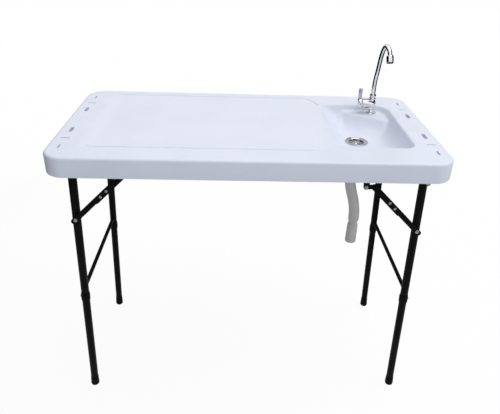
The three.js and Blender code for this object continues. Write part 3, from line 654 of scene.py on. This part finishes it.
def slot_cutter(x, y, half_x, half_y, radius):
    """A slot's volume, which flares where it meets the top."""
    low, high = TOP["height"] - TOP["skirt"], TOP["height"] + SLOT_FLARE
    reach_x, reach_y = max(half_x - radius, 0), max(half_y - radius, 0)
    foot = {"radius": radius * MM, "location": (0, 0, low * MM)}
    bpy.ops.mesh.primitive_circle_add(vertices=SLOT_SIDES, fill_type="NGON", **foot)
    piece = newest("slot")
    edit(piece)
    limit = radius * MM / SLOT_SIDES
    for way in (1, -1):
        pick(piece, "verts", lambda vertex: way * ((vertex.co.x if reach_x else vertex.co.y) - limit) > 0)
        bpy.ops.transform.translate(value=(way * reach_x * MM, way * reach_y * MM, 0))
    pick_all()
    pull_up(TOP["height"] - SLOT_FLARE - low)
    pull_up(2 * SLOT_FLARE)
    grown_x, grown_y = reach_x + radius, reach_y + radius
    scale = (1 + 2 * SLOT_FLARE / grown_x, 1 + 2 * SLOT_FLARE / grown_y, 1)
    bpy.ops.transform.resize(value=scale, center_override=(0, 0, high * MM))
    close_up()
    piece.data.transform(at(x, y, 0))
    return piece


def moulded_top():
    top = slab()
    combine(top, block("hull_room", *HULL_ROOM))
    combine(top, field("upper_side", UPPER_LINES_X, UPPER_LINES_Y, top_height), "INTERSECT")
    cut(top, field("under_side", UNDER_LINES_X, UNDER_LINES_Y, under_height))
    for way_x in SIDES.values():
        for way_y in ENDS.values():
            for half_x, half_y, radius, place in SLOTS.values():
                cut(top, slot_cutter(way_x * SLOT_X, way_y * place, half_x, half_y, radius))
    cut(top, rod("drain_cut", *DRAIN_CUT, at(*DRAIN_PLACE, 0)))
    cut(top, rod("faucet_cut", *FAUCET_CUT, at(*FAUCET_PLACE, 0)))
    dress(top, "table_plastic", "table_top", "tabletop", smooth=30)


moulded_top()

# Side rails: angle steel under the deck, with ears for the hinges and the braces

RAIL = {"reach": 524, "outer": 273.5, "flange": 25.5, "depth": 27, "thickness": 2, "top": 917.7, "edge": 0.5}
SHEET_ANGLE = 40
HINGE_EAR = {"near": 254.7, "thickness": 2.5, "half": 13, "below": 9, "hole": 5.3}
BRACE_EAR = {"near": 247.8, "thickness": 2.5, "half": 18, "below": 7.5, "hole": 3.3}
RAIL_SCREWS = (-440, -220, 0, 220, 460)
SCREW_GAP = 0.1
SCREW_HEAD = [(0, 0), (4.6, 0), (4.6, -0.6), (3.6, -2.1), (1.6, -2.8), (1.3, -1.6), (0, -1.6)]
BRACE_EYE = (-175.8, -20)
HINGE_PIN = {"radius": 5, "head": 5.9, "height": 3.4, "reach": 22}
EYE_PIN = {"radius": 3, "head": 6, "height": 2.2, "reach": 2.8}
HOLE_STEPS = 20
PIN_STEPS = 24
STUD_STEPS = 28
BOLT_STEPS = 32
HINGES = {side: Vector(joints[side + "_fold"]["pos_m"]) / MM for side in SIDES}


def hinge_offset(side, outward, up):
    """An X-Z place by its distance from a side's hinge."""
    hinge = HINGES[side]
    return hinge.x + SIDES[side] * outward, hinge.z + up


def rail_ear(place, sizes, end):
    """An ear that hangs from the rail and narrows to a round tip about its hole."""
    x, z = place
    low, high = span(end, sizes["near"], sizes["near"] + sizes["thickness"])
    piece = stadium("ear", (x, z), (x, RAIL["top"] - sizes["below"]), sizes["below"], low, high)
    edit(piece)
    middle = (z + RAIL["top"]) / 2 * MM
    pick(piece, "verts", lambda vertex: vertex.co.z > middle)
    widen = sizes["half"] / sizes["below"]
    bpy.ops.transform.resize(value=(widen, 1, 1), center_override=(x * MM, 0, RAIL["top"] * MM))
    leave()
    return piece


def side_rail(end):
    outer, thickness, top, reach = RAIL["outer"], RAIL["thickness"], RAIL["top"], RAIL["reach"]
    low, high = span(end, outer - RAIL["flange"], outer)
    rail = block("angle_rail_" + end, (-reach, low, top - thickness), (reach, high, top))
    low, high = span(end, outer - thickness, outer)
    web = block("web", (-reach, low, top - RAIL["depth"]), (reach, high, top - thickness / 2))
    combine(rail, web)
    for side in SIDES:
        for sizes, place in ((HINGE_EAR, (0, 0)), (BRACE_EAR, BRACE_EYE)):
            place = hinge_offset(side, *place)
            combine(rail, rail_ear(place, sizes, end))
            through = span(end, sizes["near"] - OVERRUN, sizes["near"] + sizes["thickness"] + OVERRUN)
            cut(rail, along_y("ear_hole", sizes["hole"], place, through, HOLE_STEPS))
    soften(rail, RAIL["edge"], angle=SHEET_ANGLE)
    coated(rail, "table_top", "side_rail_" + end)
    for number, x in enumerate(RAIL_SCREWS, 1):
        place = at(x, ENDS[end] * (outer - RAIL["flange"] / 2), top - thickness - SCREW_GAP)
        fastener(f"rail_screw_{end}_{number}", SCREW_HEAD, place, HOLE_STEPS, "table_top")


def dome(head, height, base, shoulder=0.72):
    """The profile of a bolt's domed head that stands on a base."""
    shares = ((1, 0), (1, 0.3), (0.86, shoulder), (0.5, 0.95), (0, 1))
    return [(head * out, base + height * up) for out, up in shares]


def domed_bolt(name, place, sizes, ear, end, node):
    """A domed bolt on the outer side of an ear, with its shank running inwards."""
    radius, reach = sizes["radius"], sizes["reach"]
    shank = [(0, -reach), (radius - 0.4, -reach), (radius, 0.4 - reach), (radius, 0)]
    seat = ENDS[end] * (ear["near"] + ear["thickness"] + GAP)
    to = at(place[0], seat, place[1]) @ outwards(end)
    profile = shank + dome(sizes["head"], sizes["height"], 0)
    fastener(name, profile, to, BOLT_STEPS, "table_top", node)


for end in ENDS:
    side_rail(end)
    for side in SIDES:
        label = f"{end}_{side}"
        hinge = hinge_offset(side, 0, 0)
        domed_bolt("hinge_pin_" + label, hinge, HINGE_PIN, HINGE_EAR, end, "hinge_bolt_" + label)
        eye = hinge_offset(side, *BRACE_EYE)
        domed_bolt("ear_pin_" + label, eye, EYE_PIN, BRACE_EAR, end, "brace_ear_bolt_" + label)

# Folding leg frames, built with the hinge at the origin and the legs straight down, then leaned

LEG = {"radius": 12.5, "wall": 1.2, "spread": 224, "lean": 0.039}
LEG_INNER, LEG_OUTER = LEG["radius"] - LEG["wall"], LEG["radius"]
HINGE_TUBE = {"bore": 5.4, "radius": 11, "low": -254.2, "high": 254.2}
SEAM = {"low": 392, "high": 425, "wall": 1.7, "button": 17}
BUTTON_PROFILE = [(0, -0.4), (4, -0.4), (4, 1), (3.2, 2), (1.6, 2.5), (0, 2.6)]
CROSSBAR = {"height": 442, "radius": 6.5}
FOOT = {"height": 38, "wall": 1.7, "sole": 6, "play": 1}
LEG_BOLT = {"below": 176, "radius": 3, "head": 6, "height": 2.2}
DRILL_SPAN = (-20, 20)
DRILL_STEPS = 16
STUD_SHARE = 0.75
LINK_LOW = 239
LINK_HIGH = 244.8
LINK_THICKNESS = 2.5


def below(side, height):
    """A height above the floor as a distance down the leaned leg."""
    return (height - HINGES[side].z) / math.cos(LEG["lean"])


def leaned(side):
    hinge = HINGES[side]
    return at(hinge.x, 0, hinge.z) @ Matrix.Rotation(-SIDES[side] * LEG["lean"], 4, "Y")


def leg_coupler(side, label, to):
    inner = LEG_OUTER + GAP
    outer = inner + SEAM["wall"]
    low, high = below(side, SEAM["low"]), below(side, SEAM["high"])
    lip = inner + 0.4
    profile = [
        (inner, low), (lip, low), (outer - 0.4, low + 4), (outer, low + 8), (outer, high - 8),
        (outer - 0.4, high - 4), (lip, high), (inner, high),
    ]
    sleeve = turned("coupler_sleeve_" + label, profile, to, closed=True)
    dress(sleeve, "black_plastic", f"{side}_leg_frame", "leg_coupler_" + label)
    button = [(out, outer + up) for out, up in BUTTON_PROFILE]
    facing = ALONG_X if SIDES[side] > 0 else ALONG_X.inverted()
    place = to @ at(0, 0, below(side, SEAM["low"] + SEAM["button"])) @ facing
    fastener("spring_button_" + label, button, place, PIN_STEPS, f"{side}_leg_frame")


def foot_cap(side, label, to):
    """A plain cap that swells towards a round sole, which is cut to the floor."""
    inner = LEG_OUTER + GAP
    outer = inner + FOOT["wall"]
    floor = below(side, 0)
    top = floor + FOOT["height"]
    profile = [
        (0, floor - 4), (outer - 3.2, floor - 4), (outer - 2.4, floor + 0.2), (outer - 0.9, floor + 2),
        (outer - 0.2, floor + 4.6), (outer, floor + 8), (outer - 0.2, floor + 14),
        (outer - 0.9, top - 10), (inner + 0.5, top - 1), (inner, top), (inner, floor + FOOT["sole"]),
        (0, floor + FOOT["sole"]),
    ]
    cap = turned("foot_" + label, profile, to)
    edit(cap)
    bpy.ops.mesh.bisect(plane_co=(0, 0, 0), plane_no=(0, 0, -1), clear_outer=True, use_fill=True)
    leave()
    dress(cap, "black_plastic", f"{side}_leg_frame", "foot_cap_" + label)


def leg_bolt(side, end, label):
    """The brace's bolt through the leg, with its nut on the inner side."""
    radius, head, height = LEG_BOLT["radius"], LEG_BOLT["head"], LEG_BOLT["height"]
    inner, spacer = LEG["spread"] - LEG_OUTER - GAP, LEG["spread"] + LEG_OUTER + GAP
    link, outer = LINK_LOW - GAP, LINK_LOW + LINK_THICKNESS + GAP
    profile = [
        (0, inner - height * 2.6), (radius - 0.4, inner - height * 2.6), (radius, inner - height * 2.4),
        (radius, inner - height * 2), (head - 0.5, inner - height * 2), (head, inner - height * 1.8),
        (head, inner - height * 0.2), (head - 0.5, inner), (radius, inner), (radius, spacer),
        (head, spacer), (head, link), (radius, link), (radius, outer), *dome(head, height, outer),
    ]
    to = leaned(side) @ at(0, 0, -LEG_BOLT["below"]) @ outwards(end)
    fastener("leg_pin_" + label, profile, to, PIN_STEPS, f"{side}_leg_frame", "leg_bolt_" + label)


def leg_frame(side):
    body = f"{side}_leg_frame"
    to = leaned(side)
    spread, radius = LEG["spread"], HINGE_TUBE["radius"]
    hinge = pipe("hinge_sleeve_" + side, *HINGE_TUBE.values(), to @ ALONG_Y)
    coated(hinge, body, "hinge_tube_" + side)
    seam, sole = below(side, (SEAM["low"] + SEAM["high"]) / 2), below(side, FOOT["sole"])
    bar = rod("spreader_bar_" + side, CROSSBAR["radius"], -spread, spread, ALONG_Y)
    bar.data.transform(to @ at(0, 0, below(side, CROSSBAR["height"])))
    saddle_span = HINGE_TUBE["low"] - OVERRUN, HINGE_TUBE["high"] + OVERRUN
    for end in ENDS:
        label = f"{end}_{side}"
        here = to @ at(0, ENDS[end] * spread, 0)
        upper = pipe("leg_upper_" + label, LEG_INNER, LEG_OUTER, seam + GAP, 0, here)
        cut(upper, rod("saddle", radius + GAP, *saddle_span, to @ ALONG_Y))
        across = here @ at(0, 0, -LEG_BOLT["below"]) @ ALONG_Y
        cut(upper, rod("drill", LEG_BOLT["radius"] + GAP, *DRILL_SPAN, across, DRILL_STEPS))
        coated(upper, body, "upper_leg_" + label)
        lower = pipe("leg_lower_" + label, LEG_INNER, LEG_OUTER, sole + FOOT["play"], seam - GAP, here)
        coated(lower, body, "lower_leg_" + label)
        cut(bar, rod("leg_room", LEG_OUTER + GAP, below(side, 0), 0, here))
        leg_coupler(side, label, here)
        foot_cap(side, label, here)
        leg_bolt(side, end, label)
    coated(bar, body, "crossbar_" + side)


for side in SIDES:
    leg_frame(side)

# Folding braces: a lower link on the leg's bolt and a cranked upper link, riveted together

BRACE = {
    "pivot": (-77.8, -92), "eye": BRACE_EYE, "knee": (-150.8, -20), "stud": (-96, -73), "tail": (-63, -107),
    "upper": 9.5, "lower": 8.5, "eye_radius": 7.5, "heel": 7, "toe": 8, "edge": 0.45,
    "rib": 3, "rib_height": 0.9, "rib_ends": (20, 22),
}
RIVET_SHOULDER = 0.7
STUD_PROFILE = [(1, 0), (1, 0.6), (0.8, 1.6), (0.4, 2.1), (0, 2.2)]


def beyond(start, end, length):
    """A point that lies a length past the end of a line."""
    run = Vector(end) - Vector(start)
    return tuple(Vector(end) + run.normalized() * length)


def drilled(link, layer, end, *places):
    """Cuts a bolt hole through a link's layer at each place, then eases the link's edges."""
    reach = span(end, layer - OVERRUN, layer + LINK_THICKNESS + OVERRUN)
    for place in places:
        cut(link, along_y("hole", LEG_BOLT["radius"] + GAP, place, reach, HOLE_STEPS))
    soften(link, BRACE["edge"], angle=SHEET_ANGLE)


def lower_link(side, end, label):
    pivot = hinge_offset(side, *BRACE["pivot"])
    foot = LEG_BOLT["below"]
    bolt = hinge_offset(side, foot * math.sin(LEG["lean"]), -foot * math.cos(LEG["lean"]))
    layer = span(end, LINK_LOW, LINK_LOW + LINK_THICKNESS)
    heel, toe = beyond(pivot, bolt, BRACE["heel"]), beyond(bolt, pivot, BRACE["toe"])
    link = stadium("brace_link_lower_" + label, heel, toe, BRACE["lower"], *layer)
    layer = span(end, LINK_LOW + LINK_THICKNESS / 2, LINK_LOW + LINK_THICKNESS + BRACE["rib_height"])
    foot_end, pivot_end = BRACE["rib_ends"]
    ends = beyond(pivot, bolt, -foot_end), beyond(bolt, pivot, -pivot_end)
    combine(link, stadium("rib", *ends, BRACE["rib"], *layer))
    drilled(link, LINK_LOW, end, bolt, pivot)
    coated(link, "brace_lower_link_" + label, "brace_lower_" + label)


def upper_link(side, end, label):
    names = ("pivot", "eye", "knee", "stud", "tail")
    pivot, eye, knee, stud, tail = (hinge_offset(side, *BRACE[name]) for name in names)
    layer = span(end, LINK_HIGH, LINK_HIGH + LINK_THICKNESS)
    link = stadium("brace_link_upper_" + label, tail, knee, BRACE["upper"], *layer)
    combine(link, stadium("nose", knee, eye, BRACE["eye_radius"], *layer))
    drilled(link, LINK_HIGH, end, pivot, eye)
    body = "brace_upper_link_" + label
    coated(link, body, "brace_upper_" + label)
    head = LEG_BOLT["head"] * STUD_SHARE
    seat = at(stud[0], ENDS[end] * (LINK_HIGH + LINK_THICKNESS + HAIR), stud[1])
    profile = [(0, 0), *((head * out, up) for out, up in STUD_PROFILE)]
    fastener("lock_stud_" + label, profile, seat @ outwards(end), STUD_STEPS, body)


def brace_rivet(side, end, label):
    place = hinge_offset(side, *BRACE["pivot"])
    radius, head = LEG_BOLT["radius"], LEG_BOLT["head"] * STUD_SHARE
    outer, inner = LINK_HIGH + LINK_THICKNESS + GAP, LINK_LOW - GAP
    low, high = LINK_LOW + LINK_THICKNESS + GAP, LINK_HIGH - GAP
    rise = LEG_BOLT["height"] - 0.5
    profile = [
        *reversed(dome(head, -rise, inner, RIVET_SHOULDER)), (radius, inner), (radius, low), (head, low),
        (head, high), (radius, high), (radius, outer), *dome(head, rise, outer, RIVET_SHOULDER),
    ]
    to = at(place[0], 0, place[1]) @ outwards(end)
    body = "brace_lower_link_" + label
    fastener("elbow_rivet_" + label, profile, to, STUD_STEPS, body, "brace_rivet_" + label)


for side in SIDES:
    for end in ENDS:
        label = f"{end}_{side}"
        lower_link(side, end, label)
        upper_link(side, end, label)
        brace_rivet(side, end, label)

# Faucet on the basin's ledge

TAP = at(*FAUCET_PLACE, LEDGE_HEIGHT)
COLUMN = 10.2
BRANCH = {"radius": 15.3, "reach": 36, "back": 11, "height": 34}
SPOUT = {"radius": 7.2, "reach": 86, "rise": 190, "azimuth": -1.4, "foot": 50.6, "nut": 17.7}
SPOUT_SHARES = [
    (0, 0), (0.01, 0.32), (0.12, 0.55), (0.22, 0.78), (0.35, 0.92), (0.53, 1), (0.76, 0.98),
    (0.92, 0.92), (0.96, 0.876), (1, 0.83),
]
SPOUT_STEPS = 9
SPOUT_SIDES = 32
INSERT = {"inner": 8.6, "outer": 10.3, "low": -12.6, "high": -9.9}
LEVER = {"hub": 17, "length": 14, "width": 12, "thickness": 7, "height": 53, "edge": 2.6}
SET_SCREW = {"radius": 2.2, "low": -0.6, "high": 0.8}
BACK_NUT = [(7.8, -7), (14, -7), (15, -6), (15, -1), (14, 0), (7.8, 0)]
FLANGE_STEPS = 56
TAP_STEPS = 48


def faucet_body():
    flange = [
        (7.8, 0.3), (18.8, 0.3), (19.4, 0.8), (19.4, 2.6), (18.9, 3.6), (17.6, 4.1), (16.2, 3.8),
        (15.4, 2.9), (14.6, 2.3), (7.8, 2.2),
    ]
    base = turned("base_flange", flange, TAP, FLANGE_STEPS, closed=True)
    chromed(base, "table_top", "faucet_escutcheon", smooth=60)
    core = [
        (4.5, -34), (7.2, -34), (7.5, -33.7), (7.5, 4.6), (12.4, 4.6), (13, 5.2), (13, 7.6),
        (12.2, 8.6), (COLUMN, 10.4), (COLUMN, 46), (COLUMN - 0.8, 49.2), (COLUMN - 1.6, 50), (4.5, 50),
    ]
    body = turned("tap_body", core, TAP, TAP_STEPS, closed=True)
    reach, back, radius = BRANCH["reach"], BRANCH["back"], BRANCH["radius"]
    arm = [
        (0, -reach), (radius - 1, -reach), (radius, 1 - reach), (radius, 2.4 - reach),
        (radius - 0.8, 3 - reach), (radius - 0.8, 4 - reach), (radius, 4.6 - reach), (radius, back - 7),
        (radius - 1.2, back - 3), (radius - 4.4, back - 0.6), (radius - 7, back), (0, back),
    ]
    to = TAP @ at(0, 0, BRANCH["height"]) @ ALONG_X
    combine(body, turned("arm", arm, to, TAP_STEPS))
    chromed(body, "table_top", "faucet_body")
    low, high = SPOUT["foot"] - GAP, SPOUT["foot"] + SPOUT["nut"]
    nut = [
        (7.5, low), (10, low), (10.6, low + 0.6), (10.6, low + 5), (9.6, low + 6), (9.6, low + 7.6),
        (10.6, low + 8.6), (10.6, high - 3), (8.8, high), (7.5, high),
    ]
    collar = turned("spout_collar_nut", nut, TAP, TAP_STEPS, closed=True)
    chromed(collar, "table_top", "spout_nut")


def spout():
    azimuth = SPOUT["azimuth"]
    away = Vector((math.cos(azimuth), math.sin(azimuth), 0))
    base = Vector((*FAUCET_PLACE, LEDGE_HEIGHT + SPOUT["foot"]))
    reach, rise = away * SPOUT["reach"], Vector((0, 0, SPOUT["rise"]))
    route = [(base + reach * out + rise * up) * MM for out, up in SPOUT_SHARES]
    points = curve_points(route, SPOUT_STEPS)
    radii = [SPOUT["radius"] * MM] * len(points)
    tube = swept("gooseneck_spout", points, radii, SPOUT_SIDES, Vector((-away.y, away.x, 0)))
    chromed(tube, "swivel_spout", "spout")
    end, back = points[-1], (points[-2] - points[-1]).normalized()
    to = Matrix.Translation(end) @ back.to_track_quat("Z", "Y").to_matrix().to_4x4()
    profile = [
        (7.7, 12), (9.6, 12), (11, 10.8), (11.4, 9), (11.4, -8.4), (11, -9.4), (10, -10), (8.9, -10),
        (8.5, -9.4), (8.5, -2.3), (0, -2.3), (0, -0.5), (7.7, -0.5),
    ]
    tip = turned("aerator_tip", profile, to, TAP_STEPS)
    chromed(tip, "swivel_spout", "spout_aerator")
    insert = pipe("aerator_insert", *INSERT.values(), to, TAP_STEPS)
    dress(insert, "black_plastic", "swivel_spout")


def lever():
    """The hub on the branch's end, with its flat handle standing up and a set screw in its front."""
    hub, length = LEVER["hub"], LEVER["length"]
    to = TAP @ at(-BRANCH["reach"] - GAP, 0, BRANCH["height"]) @ ALONG_X
    profile = [
        (0, -length), (hub - 4, -length), (hub - 1.2, 0.8 - length), (hub, 3 - length), (hub, -3),
        (hub - 0.8, -1), (hub - 2.4, 0), (0, 0),
    ]
    knob = turned("lever_hub", profile, to, TAP_STEPS)
    chromed(knob, "tap_lever", "faucet_lever")
    x, y = FAUCET_PLACE[0] - BRANCH["reach"] - GAP - length, FAUCET_PLACE[1]
    z = LEDGE_HEIGHT + BRANCH["height"]
    half = LEVER["thickness"] / 2
    low, high = (x, y - half, z + hub - 1), (x + LEVER["width"], y + half, z + LEVER["height"])
    handle = block("lever_handle", low, high, LEVER["edge"], segments=4)
    chromed(handle, "tap_lever", material=satin_chrome())
    socket = at(x + length / 2, y - hub + 0.4, z + 3) @ ALONG_Y.inverted()
    screw = rod("lever_set_screw", *SET_SCREW.values(), socket, HOLE_STEPS, chamfer=0.3)
    dress(screw, "black_plastic", "tap_lever")


def faucet_lock_nut():
    top = DECK_UNDER - LEDGE_HEIGHT - GAP
    profile = [(radius, top + up) for radius, up in BACK_NUT]
    nut = turned("faucet_back_nut", profile, TAP, steps=6, closed=True)
    dress(nut, "bright_zinc", "table_top", "faucet_lock_nut", smooth=20)


faucet_body()
spout()
lever()
faucet_lock_nut()

# Drain in the basin's floor, with the trap that the hose hangs from

DRAIN_SEAT = 878
WASTE = at(*DRAIN_PLACE, DRAIN_SEAT)
STRAINER_BAR = {"corners": ((-25, -2.9, -8.4), (25, 2.9, -4.9)), "edge": 0.6, "count": 4, "turn": 0.3}
HAND_NUT = {"bore": 24.3, "radius": 31.2, "low": -14.8, "high": -5.8}
LUG = {"corners": ((29, -2.6, -14.5), (33, 2.6, -6.1)), "edge": 0.6, "count": 12, "turn": 0}
TRAP = {"top": -15.1, "height": 34, "neck": 18}
CLAMP = {"inner": 16.3, "outer": 18.1, "below": 13.5, "width": 9, "chamfer": 0.3, "screw": 20.1}
WORM_PROFILE = [(0, -6), (3.4, -6), (4, -5.4), (4, -2), (3, -1.6), (3, 5), (2.6, 6), (0, 6)]


def studded(piece, sizes, arc):
    """Joins blocks to a piece of the drain at even turns about its axis."""
    for turn in np.linspace(0, arc, sizes["count"], endpoint=False):
        bar = block("bar", *sizes["corners"], sizes["edge"])
        bar.data.transform(WASTE @ Matrix.Rotation(turn + sizes["turn"], 4, "Z"))
        combine(piece, bar)


def strainer():
    profile = [
        (22.5, -30), (24, -30), (24, -1.6), (36.6, -0.1), (37.5, 0.3), (37.3, 0.8), (36.2, 1.3),
        (34.6, 1.5), (31.8, 1.3), (29.4, 0.5), (27.6, -0.9), (26.4, -3), (25.4, -6.4), (22.5, -9),
    ]
    flange = turned("drain_flange", profile, WASTE, steps=64, closed=True)
    hub = [(0, -8.4), (8.6, -8.4), (8.6, -5), (7.4, -4), (3.4, -3.4), (2.6, -4.6), (0, -4.6)]
    grid = turned("grid", hub, WASTE, BOLT_STEPS)
    studded(grid, STRAINER_BAR, math.pi)
    combine(flange, grid)
    dress(flange, "drain_stainless", "table_top", "drain_strainer", smooth=45)


def lugged_nut():
    """The drain's hand nut, with grip lugs round its rim."""
    nut = pipe("drain_hand_nut", *HAND_NUT.values(), WASTE, TAP_STEPS)
    studded(nut, LUG, math.tau)
    dress(nut, "black_plastic", "table_top", "drain_nut")


def trap():
    top = TRAP["top"]
    foot = top - TRAP["height"]
    profile = [
        (13.6, foot - TRAP["neck"]), (15.6, foot - TRAP["neck"]), (16, foot - TRAP["neck"] + 0.4),
        (16, foot - 2), (16.6, foot), (27.5, foot + 11.5), (27.5, top - 7), (27.1, top - 6.6),
        (27.1, top - 5.6), (27.5, top - 5.2), (27.5, top - 0.6), (26.9, top), (24.3, top),
        (24.3, foot + 11.5), (13.6, foot),
    ]
    piece = turned("drain_trap", profile, WASTE, TAP_STEPS, closed=True)
    dress(piece, "black_plastic", "table_top", "drain_tailpiece")
    low, width = foot - CLAMP["below"], CLAMP["width"]
    sizes = CLAMP["inner"], CLAMP["outer"], low, low + width
    band = pipe("worm_clamp", *sizes, WASTE, TAP_STEPS, CLAMP["chamfer"])
    screw = WASTE @ at(0, -CLAMP["screw"], low + width / 2) @ ALONG_X
    combine(band, turned("worm", WORM_PROFILE, screw, PIN_STEPS))
    dress(band, "bright_zinc", "table_top", "hose_clamp")


strainer()
lugged_nut()
trap()

# Floor, light and background, placed in metres

FLOOR_SIZE = 400
FLOOR_GLOW = 0.92
FLOOR_BOUNCE = "#D4D6DA"
FILL_SHADE = "#F4F6FA"
FILL_STRENGTH = 0.55
WHITE = (1, 1, 1, 1)
SUN_FROM = (0.34, 0.02, 0.94)
SUN_SPREAD = math.radians(65)
SUN_STRENGTH = 1.56
DARK_CARDS = {
    "card_back": ((-3, 1.25), (3.6, 1.25), (0, 1.15), "#0A0A0A"),
    "card_right": ((0.8, 1.24), (0.8, -0.15), (0, 1.02), "#0A0A0A"),
    "card_front": ((-2.2, -3.4), (1.6, -3.4), (0, 1.4), "#6A6A6A"),
    "flag_left": ((0.325, 0.03), (0.325, 0.26), (0.98, 1.22), "#0A0A0A"),
    "flag_right": ((0.51, 0.04), (0.51, 0.26), (0.985, 1.26), "#0A0A0A"),
    "flag_behind": ((0.38, 0.3), (0.49, 0.3), (1, 1.25), "#0A0A0A"),
}
SHADE_CARD = ((-1.7, -1.3), (-1.3, 1.5), (0, 1.9), "#202020")


def visible_backdrop(tree, own_light, colour):
    """Shows plain white where the camera or a reflection looks straight at the backdrop."""
    rays = add_node(tree, "ShaderNodeLightPath")
    seen = rays.outputs["Is Camera Ray"]
    for kind in ("Is Glossy Ray", "Is Transmission Ray"):
        both = {0: seen, 1: rays.outputs[kind]}
        seen = add_node(tree, "ShaderNodeMath", both, operation="MAXIMUM").outputs[0]
    return add_node(tree, "ShaderNodeMixShader", {0: seen, 1: own_light, 2: colour}).outputs[0]


def studio_world():
    world = bpy.data.worlds.new("studio")
    world.use_nodes = True
    bpy.context.scene.world = world
    tree = world.node_tree
    tree.nodes.clear()
    fill = add_node(tree, "ShaderNodeBackground", {"Color": linear(FILL_SHADE), "Strength": FILL_STRENGTH})
    white = add_node(tree, "ShaderNodeBackground", {"Color": WHITE, "Strength": 1})
    shown = visible_backdrop(tree, fill.outputs[0], white.outputs[0])
    add_node(tree, "ShaderNodeOutputWorld", {"Surface": shown})


def studio_floor():
    """White to the eye with the table's soft shadow, and grey in the light that it throws back up."""
    bpy.ops.mesh.primitive_plane_add(size=FLOOR_SIZE)
    floor = newest("studio_floor")
    material, tree = new_material("white_floor")
    bounce = add_node(tree, "ShaderNodeBsdfDiffuse", {"Color": linear(FLOOR_BOUNCE)})
    matt = add_node(tree, "ShaderNodeBsdfDiffuse", {"Color": WHITE})
    white = add_node(tree, "ShaderNodeEmission", {"Color": WHITE, "Strength": 1})
    mostly = add_node(tree, "ShaderNodeMixShader", {0: FLOOR_GLOW, 1: matt.outputs[0], 2: white.outputs[0]})
    shown = visible_backdrop(tree, bounce.outputs[0], mostly.outputs[0])
    add_node(tree, "ShaderNodeOutputMaterial", {"Surface": shown})
    floor.data.materials.append(material)


def card(name, start, end, heights, shade, in_diffuse):
    """A dark card that stands beside the table, out of the camera's sight, for shade and reflections."""
    run = Vector(end) - Vector(start)
    bpy.ops.mesh.primitive_plane_add(size=1)
    piece = newest(name)
    low, high = heights
    piece.scale = (run.length, high - low, 1)
    piece.rotation_euler = (QUARTER, 0, math.atan2(run.y, run.x))
    middle = (Vector(start) + Vector(end)) / 2
    piece.location = (middle.x, middle.y, (low + high) / 2)
    settle(piece)
    material, tree = new_material("card_" + name)
    matt = add_node(tree, "ShaderNodeBsdfDiffuse", {"Color": linear(shade)})
    add_node(tree, "ShaderNodeOutputMaterial", {"Surface": matt.outputs[0]})
    piece.data.materials.append(material)
    piece.visible_camera = False
    piece.visible_shadow = False
    piece.visible_diffuse = in_diffuse


def sun():
    bpy.ops.object.light_add(type="SUN")
    lamp = bpy.context.object
    lamp.name = "soft_sun"
    lamp.data.energy = SUN_STRENGTH
    lamp.data.angle = SUN_SPREAD
    lamp.rotation_euler = Vector(SUN_FROM).to_track_quat("Z", "Y").to_euler()


studio_world()
studio_floor()
for name, (start, end, heights, shade) in DARK_CARDS.items():
    card(name, start, end, heights, shade, False)
card("shade_left", *SHADE_CARD, True)
sun()

bpy.context.scene.view_settings.view_transform = "Standard"
